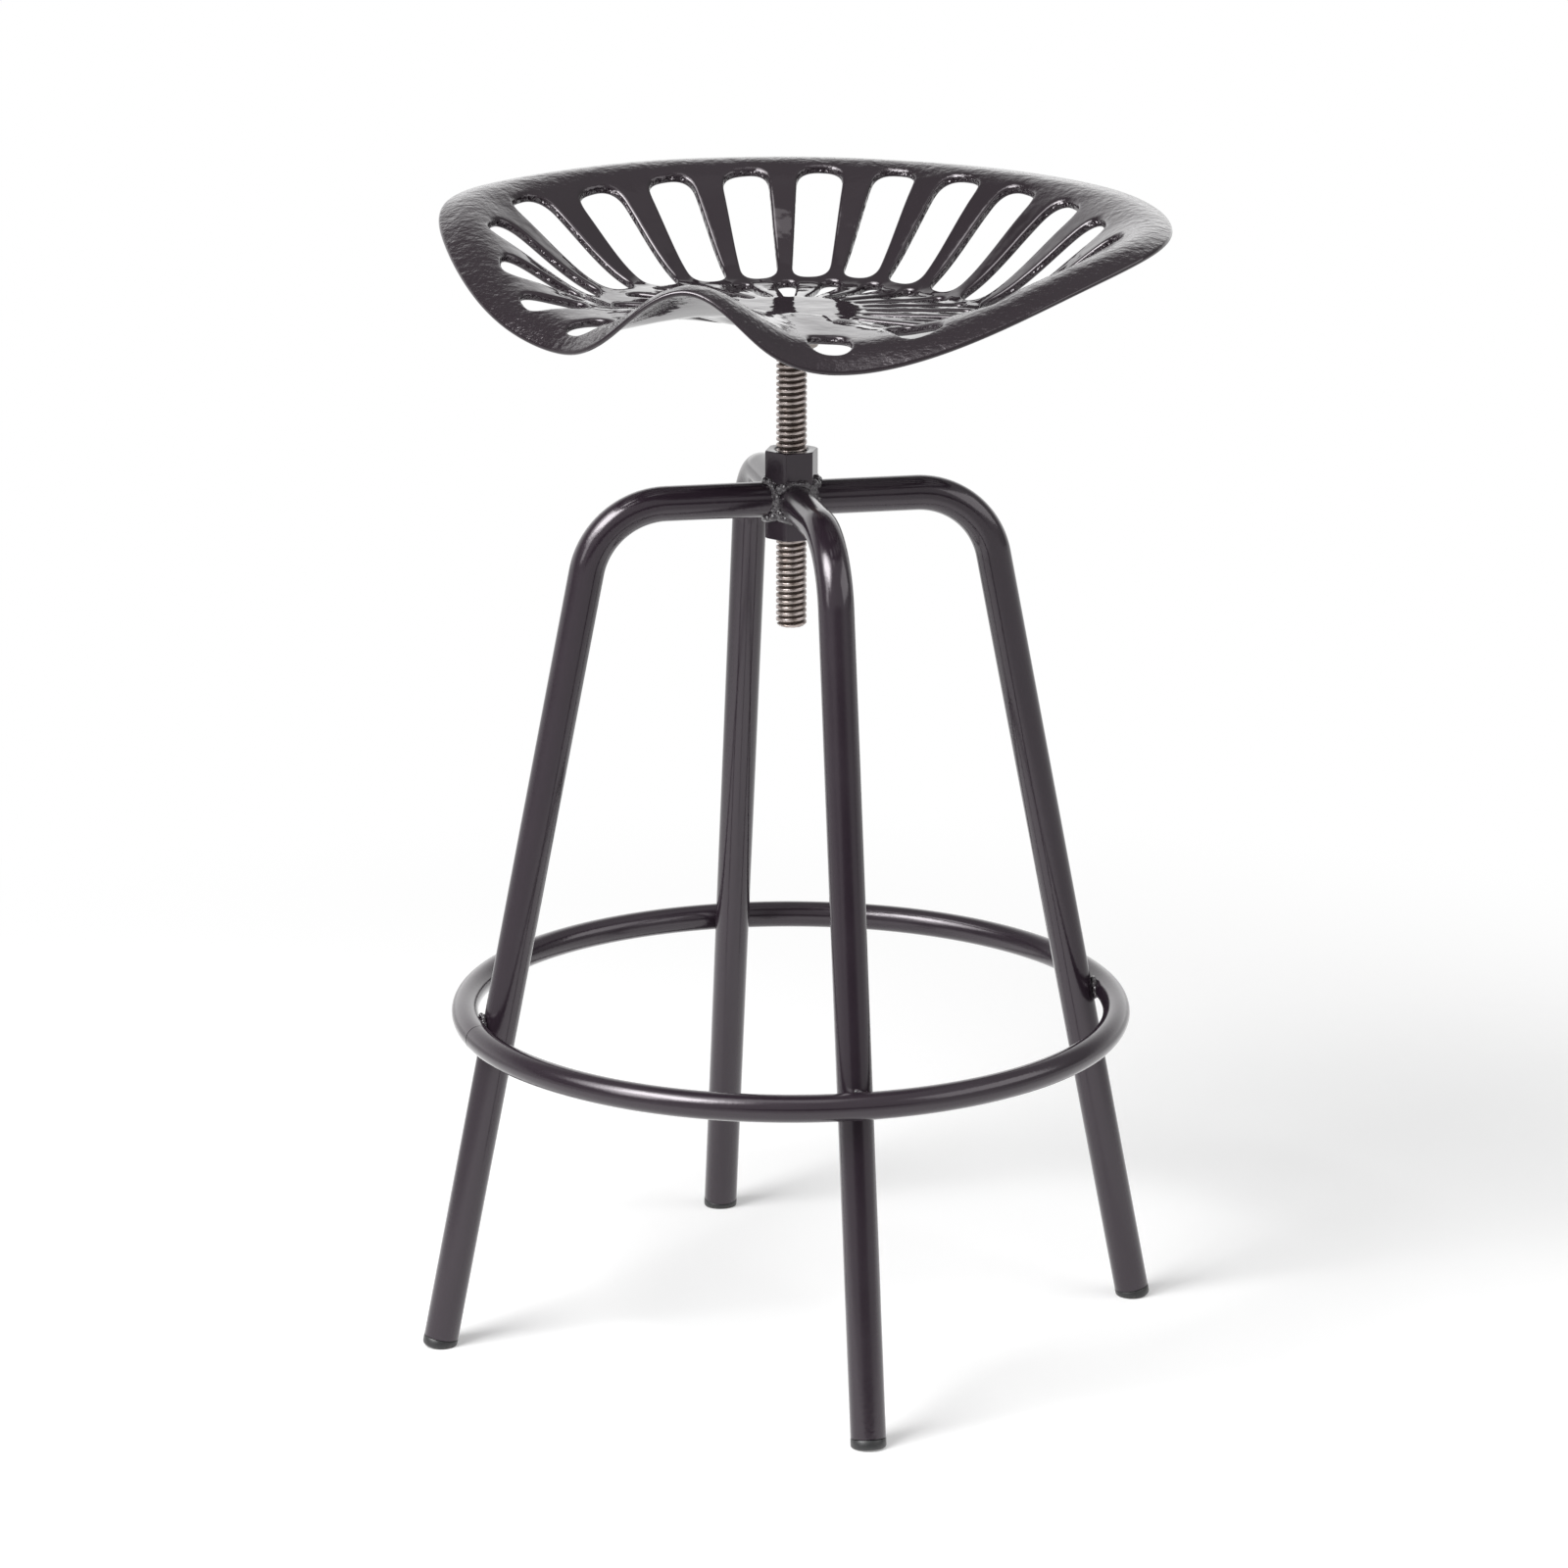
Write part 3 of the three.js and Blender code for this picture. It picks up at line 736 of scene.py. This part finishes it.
def threadTree(flank):
    tree, given, result = newTree("screwThread", [
        ("Bottom", "Float", 0.48),
        ("Length", "Float", 0.2),
        ("Crest Diameter", "Float", 0.02),
        ("Root Diameter", "Float", 0.016),
        ("Pitch", "Float", 0.004),
        ("Chamfer", "Float", 0.0018),
        ("Turns", "Int", 54),
        ("Rows Per Turn", "Int", 12),
        ("Sides", "Int", 48),
        ("Material", "Material", None),
    ])

    def at(operation, first, second=0.0):
        return mathNode(tree, operation, first, second)

    rows = at("ADD", at("MULTIPLY", given["Turns"], given["Rows Per Turn"]), 1.0)
    sheet = addNode(tree, "GeometryNodeMeshGrid", {
        "Size X": 1.0, "Size Y": 1.0, "Vertices X": at("ADD", given["Sides"], 1.0), "Vertices Y": rows,
    })
    place = addNode(tree, "ShaderNodeSeparateXYZ", {0: addNode(tree, "GeometryNodeInputPosition").outputs[0]})
    around = at("ADD", place.outputs["X"], 0.5)
    along = at("MULTIPLY", at("ADD", place.outputs["Y"], 0.5), given["Turns"])
    # Two spare turns below the bottom and two above the top make the flat ends
    raw = at("ADD", given["Bottom"], at("MULTIPLY", given["Pitch"], at("ADD", at("SUBTRACT", along, 2.0), around)))
    top = at("ADD", given["Bottom"], given["Length"])
    height = at("MINIMUM", at("MAXIMUM", raw, given["Bottom"]), top)
    beyond = at("ABSOLUTE", at("SUBTRACT", raw, height))
    phase = at("FRACT", at("ADD", along, 0.0001))   # a row on a whole turn mustn't fall just short of it
    swing = at("MULTIPLY", at("ABSOLUTE", at("SUBTRACT", phase, 0.5)), 2.0)
    crest = ranged(tree, swing, 1.0, 0.0, *flank, True)
    outer = at("MULTIPLY", given["Crest Diameter"], 0.5)
    root = at("MULTIPLY", given["Root Diameter"], 0.5)
    ridge = at("ADD", root, at("MULTIPLY", at("SUBTRACT", outer, root), crest))
    nearEnd = at("MINIMUM", at("SUBTRACT", height, given["Bottom"]), at("SUBTRACT", top, height))
    limit = at("ADD", at("SUBTRACT", outer, given["Chamfer"]), nearEnd)
    drawn = at("MAXIMUM", at("SUBTRACT", 1.0, at("DIVIDE", beyond, at("MULTIPLY", given["Pitch"], 0.9))), 0.0)
    radius = at("MULTIPLY", at("MINIMUM", ridge, limit), drawn)
    angle = at("MULTIPLY", around, 2 * math.pi)
    spot = addNode(tree, "ShaderNodeCombineXYZ", {
        "X": at("MULTIPLY", radius, at("COSINE", angle)),
        "Y": at("MULTIPLY", radius, at("SINE", angle)),
        "Z": height,
    })
    marked = addNode(tree, "GeometryNodeStoreNamedAttribute", {
        "Geometry": sheet.outputs[0], "Name": "crest", "Value": crest,
    }, data_type="FLOAT", domain="POINT")
    bent = addNode(tree, "GeometryNodeSetPosition", {"Geometry": marked.outputs[0], "Position": spot.outputs[0]})
    closed = addNode(tree, "GeometryNodeMergeByDistance", {"Geometry": bent.outputs[0], "Distance": 0.00001})
    finishTree(tree, result, closed.outputs[0], given["Material"])
    return tree


screwLength = spindle["top"] - spindle["bottom"]
screwBase = meshOf("threaded_spindle", [(0, 0, 0)], [])
screw = grown("threaded_spindle", screwBase, threadTree(spindle["flank"]), {
    "Bottom": spindle["bottom"] * mm,
    "Length": screwLength * mm,
    "Crest Diameter": spindle["crest"] * mm,
    "Root Diameter": spindle["root"] * mm,
    "Pitch": spindle["pitch"] * mm,
    "Chamfer": spindle["chamfer"] * mm,
    "Turns": math.ceil(screwLength / spindle["pitch"]) + 4,
    "Material": screwLook,
}, 60)
placed(screw, "seat", "bare_steel", "screw_spindle")
print("screw made")

# Pan: the casting's face is a rule of the turn round the seat and the share of the way to the rim
pan = {
    "plate": 690.0,
    "halfWidth": 244.6,
    "rise": 69.3,
    "wall": 6.0,
    "edge": 4.0,
    "bed": 16.8,
    "fall": 13.4,
    "rollStart": 0.857,
    "bedFoot": (0.18, 0.5),
    "soft": 2.3,                                   # round of the slots' edges
    "softRows": (0.0, 0.08, 0.3, 0.62, 1.0),
    "slotRows": (0.35, 0.65),
    "grid": 3.5,
    "hubRing": 44.0,
    "hubSteps": 96,
    "plateRows": (36.0, 27.0, 18.0, 9.0),
    "rimShare": 0.957,
    "rimSteps": 360,
    "rimRows": (0.966, 0.974, 0.982, 0.989, 0.995, 1.0),
    "edgeRows": (0.14, 0.28, 0.43, 0.57, 0.72, 0.86, 1.0),
    "backRows": (0.2, 0.4, 0.6, 0.8),
    # Boss under the plate and its bore: radius, height
    "boss": [
        (36, 684.0), (26, 684.0), (23.6, 683.9), (22.0, 683.3), (21.1, 681.8), (20.2, 679.0),
        (19.4, 676.9), (19.0, 676.3), (18.3, 676.0), (11.2, 676.0), (10.4, 676.8), (10.4, 685.3),
    ],
}
# Every 15 degrees from the back to the front, alike on both sides
rim = {
    "reach": [0.917, 0.921, 0.945, 0.968, 0.982, 0.999, 1, 0.927, 0.859, 0.812, 0.78, 0.788, 0.751],
    "bed": [-0.21, -0.21, -0.21, -0.18, -0.07, 0.06, 0.09, 0.03, 0.18, 0.575, 0.85, 0.955, 1],
    "crest": [0.992, 0.996, 0.987, 0.98, 0.944, 0.894, 0.839, 0.663, 0.365, 0.087, -0.047, 0.145, 0.61],
    "roll": [0.19, 0.19, 0.2, 0.25, 0.29, 0.29, 0.35, 0.424, 0.48, 0.783, 1, 0.788, 0.608],
    "wallFoot": [0.46, 0.463, 0.475, 0.478, 0.492, 0.513, 0.492, 0.485, 0.474, 0.5, 0.476, 0.435, 0.459],
    "wallTop": [0.985, 0.957, 0.943, 0.948, 0.966, 0.98, 0.967, 0.96, 0.95, 0.93, 0.926, 1.004, 1.18],
}
# The large slots, from the middle one to the last of a side
slots = {
    "pairs": 9,
    "pitch": 15.15,
    "spread": 0.02,
    "outerHalf": 19.4,
    "innerHalf": 15.0,
    "cut": 0.88,             # share of a corner that its curve takes
    "cornerSteps": 40,
    "spacing": 1.9,
    "tips": [0.82, 0.807, 0.809, 0.82, 0.831, 0.871, 0.831, 0.764, 0.743, 0.728],
    "feet": [0.495, 0.491, 0.499, 0.503, 0.506, 0.526, 0.536, 0.554, 0.568, 0.612],
    "outer": [0.776, 0.832, 0.834, 0.852, 0.88, 0.94, 0.96, 0.99, 0.873, 0.74],
    "inner": [0.78, 0.81, 0.775, 0.795, 0.84, 0.97, 1, 0.846, 0.58, 0.817],
}
# The slim slots between their inner ends
drops = {"foot": 0.196, "tip": 0.475, "inner": 2.6, "outer": 7.0}

rimTurns = np.arange(pan["rimSteps"]) * 360 / pan["rimSteps"]
hubTurns = np.arange(pan["hubSteps"]) * 360 / pan["hubSteps"]


# Smooth closed curve through a rim table's values
def rimCurve(values):
    ring = np.array(values[:-1] + values[:0:-1], float)
    count = len(ring)
    system = np.zeros((count, count))
    for i in range(count):
        system[i, i] = 4
        system[i, (i + 1) % count] = 1
        system[i, (i - 1) % count] = 1
    bends = np.linalg.solve(system, 6 * (np.roll(ring, -1) - 2 * ring + np.roll(ring, 1)))

    def at(turn):
        place = (np.asarray(turn, float) % 360) / 360 * count
        first = np.floor(place).astype(int) % count
        after = (first + 1) % count
        t = place - np.floor(place)
        return ((1 - t) * ring[first] + t * ring[after]
                + ((1 - t) ** 3 - (1 - t)) * bends[first] / 6 + (t ** 3 - t) * bends[after] / 6)
    return at


rimAt = {key: rimCurve(values) for key, values in rim.items()}


def stepUp(value, low, high):
    t = np.clip((value - low) / (high - low), 0, 1)
    return t * t * (3 - 2 * t)


def reachAt(turn):
    return pan["halfWidth"] * rimAt["reach"](turn) - pan["edge"] / 2


def faceHeight(turn, share):
    bed = pan["bed"] * rimAt["bed"](turn) * stepUp(share, *pan["bedFoot"])
    wall = pan["rise"] * rimAt["crest"](turn) * stepUp(share, rimAt["wallFoot"](turn), rimAt["wallTop"](turn))
    rolled = np.maximum(0, (share - pan["rollStart"]) / (1 - pan["rollStart"]))
    return pan["plate"] + bed + wall - pan["fall"] * rimAt["roll"](turn) * rolled ** 2


# Point of the underside, square to the face: distance out from the middle, and height
def underPoint(turn, share):
    reach = reachAt(turn)
    slope = (faceHeight(turn, share + 0.0005) - faceHeight(turn, share - 0.0005)) / (0.001 * reach)
    thick = pan["wall"] - (pan["wall"] - pan["edge"]) * stepUp(share, pan["rollStart"], 1)
    inward = thick / np.hypot(1, slope)
    return reach * share + inward * slope, faceHeight(turn, share) - inward


# Height of the underside at a distance out, found in small steps
def underHeight(turn, radius):
    share = radius / reachAt(turn)
    for _ in range(14):
        out = underPoint(turn, share)[0]
        share = share + (radius - out) / reachAt(turn) * 0.8
    return underPoint(turn, share)[1]


def polar(x, y):
    return np.degrees(np.arctan2(x, y)), np.hypot(x, y)


def loopOf(reach, turns):
    angles = np.radians(turns)
    return np.stack([reach * np.sin(angles), reach * np.cos(angles)], 1)


# Tapered outline along +Y with round ends, as evenly spaced points and their outward normals
def slotOutline(turn, foot, tip, innerHalf, outerHalf):
    corners = [(-innerHalf, foot), (innerHalf, foot), (outerHalf, tip), (-outerHalf, tip)]
    halves = [innerHalf, innerHalf, outerHalf, outerHalf]
    points = []
    for i in range(4):
        here, before, after = Vector(corners[i]), Vector(corners[i - 1]), Vector(corners[(i + 1) % 4])
        cut = halves[i] * slots["cut"]
        enter = here + (before - here).normalized() * cut
        leave = here + (after - here).normalized() * cut
        for k in range(slots["cornerSteps"] + 1):
            t = k / slots["cornerSteps"]
            points.append(enter * (1 - t) ** 2 + here * 2 * t * (1 - t) + leave * t * t)
    loop = np.array([tuple(p) for p in points])
    lengths = np.hypot(*(np.roll(loop, -1, 0) - loop).T)
    walked = np.concatenate([[0], np.cumsum(lengths)])
    count = max(24, int(walked[-1] / slots["spacing"]))
    stations = np.arange(count) / count * walked[-1]
    closed = np.vstack([loop, loop[:1]])
    even = np.stack([np.interp(stations, walked, closed[:, k]) for k in (0, 1)], 1)
    for _ in range(2):
        even = even * 0.5 + (np.roll(even, 1, 0) + np.roll(even, -1, 0)) * 0.25
    along = np.roll(even, -1, 0) - np.roll(even, 1, 0)
    normal = np.stack([along[:, 1], -along[:, 0]], 1)
    normal /= np.hypot(*normal.T)[:, None]
    c, s = math.cos(math.radians(turn)), math.sin(math.radians(turn))
    spin = np.array([[c, -s], [s, c]])
    return even @ spin, normal @ spin


def slotTurn(place):
    return slots["pitch"] * place + slots["spread"] * place ** 3


def allOutlines():
    outlines = []
    wide = pan["halfWidth"]
    for place in range(-slots["pairs"], slots["pairs"] + 1):
        pair = abs(place)
        outlines.append(slotOutline(
            slotTurn(place), wide * slots["feet"][pair], wide * slots["tips"][pair],
            slots["innerHalf"] * slots["inner"][pair], slots["outerHalf"] * slots["outer"][pair]))
    for place in np.arange(0.5 - slots["pairs"], slots["pairs"]):
        outlines.append(slotOutline(
            slotTurn(place), wide * drops["foot"], wide * drops["tip"], drops["inner"], drops["outer"]))
    return outlines


def insideLoop(points, loop):
    inside = np.zeros(len(points), bool)
    low, high = loop.min(0), loop.max(0)
    near = np.where(((points > low) & (points < high)).all(1))[0]
    x, y = points[near].T
    hit = np.zeros(len(near), bool)
    for (x0, y0), (x1, y1) in zip(loop, np.roll(loop, -1, 0)):
        if y0 == y1:
            continue
        hit ^= ((y0 > y) != (y1 > y)) & (x < (x1 - x0) * (y - y0) / (y1 - y0) + x0)
    inside[near] = hit
    return inside


# Even points over the face, clear of the rim, the hub ring and the slots
def fillPoints(outlines):
    step = pan["grid"]
    margin = step * 0.6
    lines = np.arange(-250, 251, step * 0.866)   # 0.866 makes the triangles equal-sided
    grid = np.array([
        (x + (step / 2 if row % 2 else 0), y)
        for row, y in enumerate(lines)
        for x in np.arange(-250, 251, step)
    ])
    turn, radius = polar(*grid.T)
    grid = grid[(radius > pan["hubRing"] + margin) & (radius < reachAt(turn) * pan["rimShare"] - margin)]
    free = np.ones(len(grid), bool)
    for loop, normal in outlines:
        wide = loop + normal * (pan["soft"] + 0.1)
        near = np.where(((grid > wide.min(0) - step) & (grid < wide.max(0) + step)).all(1))[0]
        gaps = np.hypot(grid[near, None, 0] - wide[None, :, 0], grid[near, None, 1] - wide[None, :, 1]).min(1)
        free[near[gaps < step * 0.55]] = False
        free &= ~insideLoop(grid, wide)
    return grid[free]


# The face seen from above: its points and how far each is sunk, its triangles, and three kinds of row
def panPlan():
    soft = pan["soft"]
    outlines = allOutlines()
    rimLoop = loopOf(reachAt(rimTurns) * pan["rimShare"], rimTurns)
    plan, sink, edges = [], [], []

    def addLoop(points, drop):
        start, count = len(plan), len(points)
        plan.extend(points)
        sink.extend([drop] * count)
        edges.extend((start + i, start + (i + 1) % count) for i in range(count))
        return list(range(start, start + count))

    rimIds = addLoop(rimLoop, 0)
    hubIds = addLoop(loopOf(pan["hubRing"], hubTurns), 0)
    slotIds = []
    for loop, normal in outlines:
        rings = []
        for away in (soft * share for share in pan["softRows"]):
            drop = soft - math.sqrt(max(0, soft ** 2 - (soft - away) ** 2))
            rings.append(addLoop(loop + normal * away, drop))
        slotIds.append(rings[0])
    fill = fillPoints(outlines)
    plan.extend(fill)
    sink.extend([0] * len(fill))

    made = delaunay_2d_cdt([Vector(p) for p in plan], edges, [], 0, 1e-6)
    spots = np.array([tuple(v) for v in made[0]])
    triangles = np.array(made[2])
    origin = np.array([ids[0] if ids else -1 for ids in made[3]])
    middle = spots[triangles].mean(1)
    turn, radius = polar(*middle.T)
    hubFlat = pan["hubRing"] * math.cos(math.pi / pan["hubSteps"])
    use = (radius > hubFlat - 0.01) & insideLoop(middle, rimLoop)
    for loop, _ in outlines:
        use &= ~insideLoop(middle, loop)
    triangles = triangles[use]
    a, b, c = (spots[triangles[:, k]] for k in range(3))
    flip = (b[:, 0] - a[:, 0]) * (c[:, 1] - a[:, 1]) - (b[:, 1] - a[:, 1]) * (c[:, 0] - a[:, 0]) < 0
    triangles[flip] = triangles[flip][:, ::-1]
    drop = np.where(origin >= 0, np.array(sink + [0])[origin], 0)
    where = {int(first): i for i, first in enumerate(origin) if first >= 0}

    def rowOf(ids):
        return [where[i] for i in ids]

    return spots, drop, triangles, rowOf(rimIds), rowOf(hubIds), [rowOf(ids) for ids in slotIds]


def panMesh():
    spots, drop, triangles, rimRow, hubRow, slotRows = panPlan()
    turn, radius = polar(*spots.T)
    share = radius / reachAt(turn)
    upper = np.column_stack([spots, faceHeight(turn, share) - drop])
    lower = np.column_stack([spots, underHeight(turn, radius) + drop])
    points = list(upper) + list(lower)
    outward = list(share) * 2
    cut = [0.0] * len(points)
    under = len(upper)
    faces = [tuple(t) for t in triangles] + [tuple(t[::-1] + under) for t in triangles]

    def addRow(x, y, z, share, cutting=0.0):
        start = len(points)
        points.extend(np.column_stack([x, y, z]))
        outward.extend(np.broadcast_to(share, len(x)))
        cut.extend([cutting] * len(x))
        return list(range(start, start + len(x)))

    def joinRows(first, second):
        count = len(first)
        for i in range(count):
            j = (i + 1) % count
            faces.append((first[i], second[i], second[j], first[j]))

    def roundRow(turns, out, height, share):
        x, y = loopOf(out, turns).T
        return addRow(x, y, np.broadcast_to(height, len(x)), share)

    # Fan from a row to a point on the axis
    def closeRow(row, height, upward):
        tip = len(points)
        points.append((0, 0, height))
        outward.append(0.0)
        cut.append(0.0)
        for first, second in zip(row, row[1:] + row[:1]):
            faces.append((first, tip, second) if upward else (second, tip, first))

    def below(row):
        return [i + under for i in row]

    # Slot walls
    for high in slotRows:
        low = below(high)
        top, bottom = np.array([points[i] for i in high]), np.array([points[i] for i in low])
        previous = high
        for part in pan["slotRows"]:
            row = addRow(*(top * (1 - part) + bottom * part).T, 0.8, 1.0)
            joinRows(row, previous)
            previous = row
        joinRows(low, previous)
        for i in high + low:
            cut[i] = 0.6

    # Rolled rim: rows out to the edge, round it and back along the underside
    rows = []
    reach = reachAt(rimTurns)
    for share in pan["rimRows"]:
        rows.append((reach * share, faceHeight(rimTurns, share), share))
    edgeOut, edgeHeight = reach, faceHeight(rimTurns, 1.0)
    backOut, backHeight = underPoint(rimTurns, 1.0)
    middleOut, middleHeight = (edgeOut + backOut) / 2, (edgeHeight + backHeight) / 2
    spanOut, spanHeight = (edgeOut - backOut) / 2, (edgeHeight - backHeight) / 2
    for a in (math.pi * part for part in pan["edgeRows"]):
        out = middleOut + spanOut * math.cos(a) + spanHeight * math.sin(a)
        height = middleHeight + spanHeight * math.cos(a) - spanOut * math.sin(a)
        rows.append((out, height, 0.8))   # smooth, so that the edge takes a clean line of light
    for part in pan["backRows"]:
        out = backOut * (1 - part) + reach * pan["rimShare"] * part
        rows.append((out, underHeight(rimTurns, out), 0.98))
    previous = rimRow
    for out, height, share in rows:
        row = roundRow(rimTurns, out, height, share)
        joinRows(row, previous)
        previous = row
    joinRows(below(rimRow), previous)

    # Middle of the plate above, and the boss with its bore below
    previous = hubRow
    for out in pan["plateRows"]:
        share = out / reachAt(hubTurns)
        row = roundRow(hubTurns, out, faceHeight(hubTurns, share), share)
        joinRows(previous, row)
        previous = row
    closeRow(previous, pan["plate"], True)
    previous = below(hubRow)
    for out, height in pan["boss"]:
        row = roundRow(hubTurns, out, height, 0.1)
        joinRows(row, previous)
        previous = row
    closeRow(previous, pan["boss"][-1][1], False)

    mesh = meshOf("seat_casting", np.array(points) * mm, faces)
    for label, values in (("outward", outward), ("cut", cut)):
        attribute = mesh.attributes.new(label, "FLOAT", "POINT")
        attribute.data.foreach_set("value", np.array(values, np.float32))
    return mesh


casting = addPiece("seat_casting", panMesh(), castLook, 70)
placed(casting, "seat", "pan_paint", "seat_pan")
print("seat made, faces:", len(casting.data.polygons))

# The CAD nodes that stay as they are
for node in ("lock_nut", "boss_washer"):
    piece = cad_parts[node]
    piece.data.materials.clear()
    piece.data.materials.append(nutLook)
print("hidden fixings dressed")

# Floor, world and lamps
studio = {
    "floor": (0.86, 0.86, 0.86),
    "floorHalf": 30.0,
    "floorLevel": -0.0002,
    "floorLift": 0.25,
    "floorFade": (0.55, 1.3),      # where the floor runs out into plain white, metres from the middle
    "floorGloss": 0.5,             # how much brighter the floor is to gloss
    "worldLight": 0.25,
    # What gloss sees of the room: from away from the backdrop's foot (0) to straight at it (1)
    "backdrop": (-0.45, 0.65, -0.62),
    "room": [(0.25, 0.8), (0.31, 0.6), (0.54, 0.38), (0.62, 0.8), (0.69, 1.25), (0.79, 1.55)],
    "softbox": (-0.42, -0.52, 0.74),
    "softboxEdge": (0.86, 0.98),
    "softboxLight": 7.5,
    # Dark end of the room, low down in front
    "darkEnd": (0.515, -0.857, 0.0),
    "darkEndLow": (1, 1, 3),
    "darkEndEdge": (0.74, 0.92),
    "darkEndLight": 0.12,
    "lamps": [
        # place, aim, width, height, watts
        ((-1.12, -1.86, 2.6), (0, 0, 0.55), 1.45, 1.05, 58),
        ((-1.2, -2.0, 2.65), (0, 0, 0.55), 2.3, 1.7, 42),
        ((-1.3, -2.1, 1.25), (0, 0, 0.45), 0.7, 0.8, 6),
        ((2.4, 0.2, 1.75), (0, 0, 0.45), 2.4, 1.3, 20),
        ((0.15, -0.75, 3.1), (0, 0, 0.7), 1.5, 1.2, 8),
    ],
}


# 1 for a ray of any of the kinds, such as Camera or Glossy
def anyRay(tree, *kinds):
    paths = addNode(tree, "ShaderNodeLightPath").outputs
    share = paths["Is %s Ray" % kinds[0]]
    for kind in kinds[1:]:
        share = mathNode(tree, "MAXIMUM", share, paths["Is %s Ray" % kind])
    return share


def makeFloor(values):
    half, level = values["floorHalf"], values["floorLevel"]
    corners = [(-half, -half, level), (half, -half, level), (half, half, level), (-half, half, level)]
    floor = bpy.data.objects.new("studioFloor", meshOf("studioFloor", corners, [(0, 1, 2, 3)]))
    bpy.context.collection.objects.link(floor)
    material, tree, place = newMaterial("studioFloor")
    seen = anyRay(tree, "Camera", "Glossy", "Transmission")
    lift = mathNode(tree, "MULTIPLY", seen, values["floorLift"])
    gloss = mathNode(tree, "MULTIPLY", anyRay(tree, "Glossy"), values["floorGloss"])
    matte = addNode(tree, "ShaderNodeBsdfDiffuse", {"Color": (*values["floor"], 1)})
    glow = addNode(tree, "ShaderNodeEmission", {"Strength": mathNode(tree, "ADD", lift, gloss)})
    lit = addNode(tree, "ShaderNodeAddShader", {0: matte.outputs[0], 1: glow.outputs[0]})
    far = ranged(tree, vectorNode(tree, "LENGTH", place)["Value"], 0.0, 1.0, *values["floorFade"], True)
    white = addNode(tree, "ShaderNodeEmission")
    faded = addNode(tree, "ShaderNodeMixShader", {
        0: mathNode(tree, "MULTIPLY", far, seen), 1: lit.outputs[0], 2: white.outputs[0],
    })
    addNode(tree, "ShaderNodeOutputMaterial", {"Surface": faded.outputs[0]})
    floor.data.materials.append(material)


# How far a direction points the same way as another: 1 the same, -1 opposite
def facingOf(tree, direction, toward):
    return vectorNode(tree, "DOT_PRODUCT", direction, toward)["Value"]


def makeWorld(values):
    world = bpy.data.worlds.new("studioWorld")
    bpy.context.scene.world = world
    world.use_nodes = True
    tree = world.node_tree
    tree.nodes.clear()
    direction = addNode(tree, "ShaderNodeTexCoord").outputs["Generated"]
    room = addNode(tree, "ShaderNodeValToRGB", {
        "Fac": ranged(tree, facingOf(tree, direction, values["backdrop"]), 0.0, 1.0, -1.0, 1.0),
    })
    stops = room.color_ramp.elements
    room.color_ramp.interpolation = "EASE"
    while len(stops) < len(values["room"]):
        stops.new(0.5)
    for stop, (share, light) in zip(stops, values["room"]):
        stop.position = share
        stop.color = (light, light, light, 1)
    softbox = facingOf(tree, direction, values["softbox"])
    glow = ranged(tree, softbox, 0.0, values["softboxLight"], *values["softboxEdge"], True)
    low = vectorNode(tree, "MULTIPLY", direction, values["darkEndLow"])["Vector"]
    darkEnd = facingOf(tree, vectorNode(tree, "NORMALIZE", low)["Vector"], values["darkEnd"])
    dim = ranged(tree, darkEnd, 1.0, values["darkEndLight"], *values["darkEndEdge"], True)
    tone = mathNode(tree, "ADD", mathNode(tree, "MULTIPLY", room.outputs["Color"], dim), glow)
    glossy = mathNode(tree, "MULTIPLY", anyRay(tree, "Glossy"), tone)
    shown = mathNode(tree, "MAXIMUM", anyRay(tree, "Camera", "Transmission"), glossy)
    unseen = mathNode(tree, "MULTIPLY", anyRay(tree, "Diffuse"), values["worldLight"])
    sky = addNode(tree, "ShaderNodeBackground", {
        "Color": (1, 1, 1, 1), "Strength": mathNode(tree, "MAXIMUM", shown, unseen),
    })
    addNode(tree, "ShaderNodeOutputWorld", {"Surface": sky.outputs[0]})


def makeLamps(values):
    for number, (place, aim, width, height, watts) in enumerate(values["lamps"]):
        data = bpy.data.lights.new("softLamp%d" % number, "AREA")
        data.shape = "RECTANGLE"
        data.size = width
        data.size_y = height
        data.energy = watts
        lamp = bpy.data.objects.new(data.name, data)
        lamp.location = place
        lamp.rotation_euler = (Vector(aim) - Vector(place)).to_track_quat("-Z", "Y").to_euler()
        bpy.context.collection.objects.link(lamp)


makeFloor(studio)
makeWorld(studio)
makeLamps(studio)
bpy.context.scene.view_settings.view_transform = "Standard"
print("studio set")
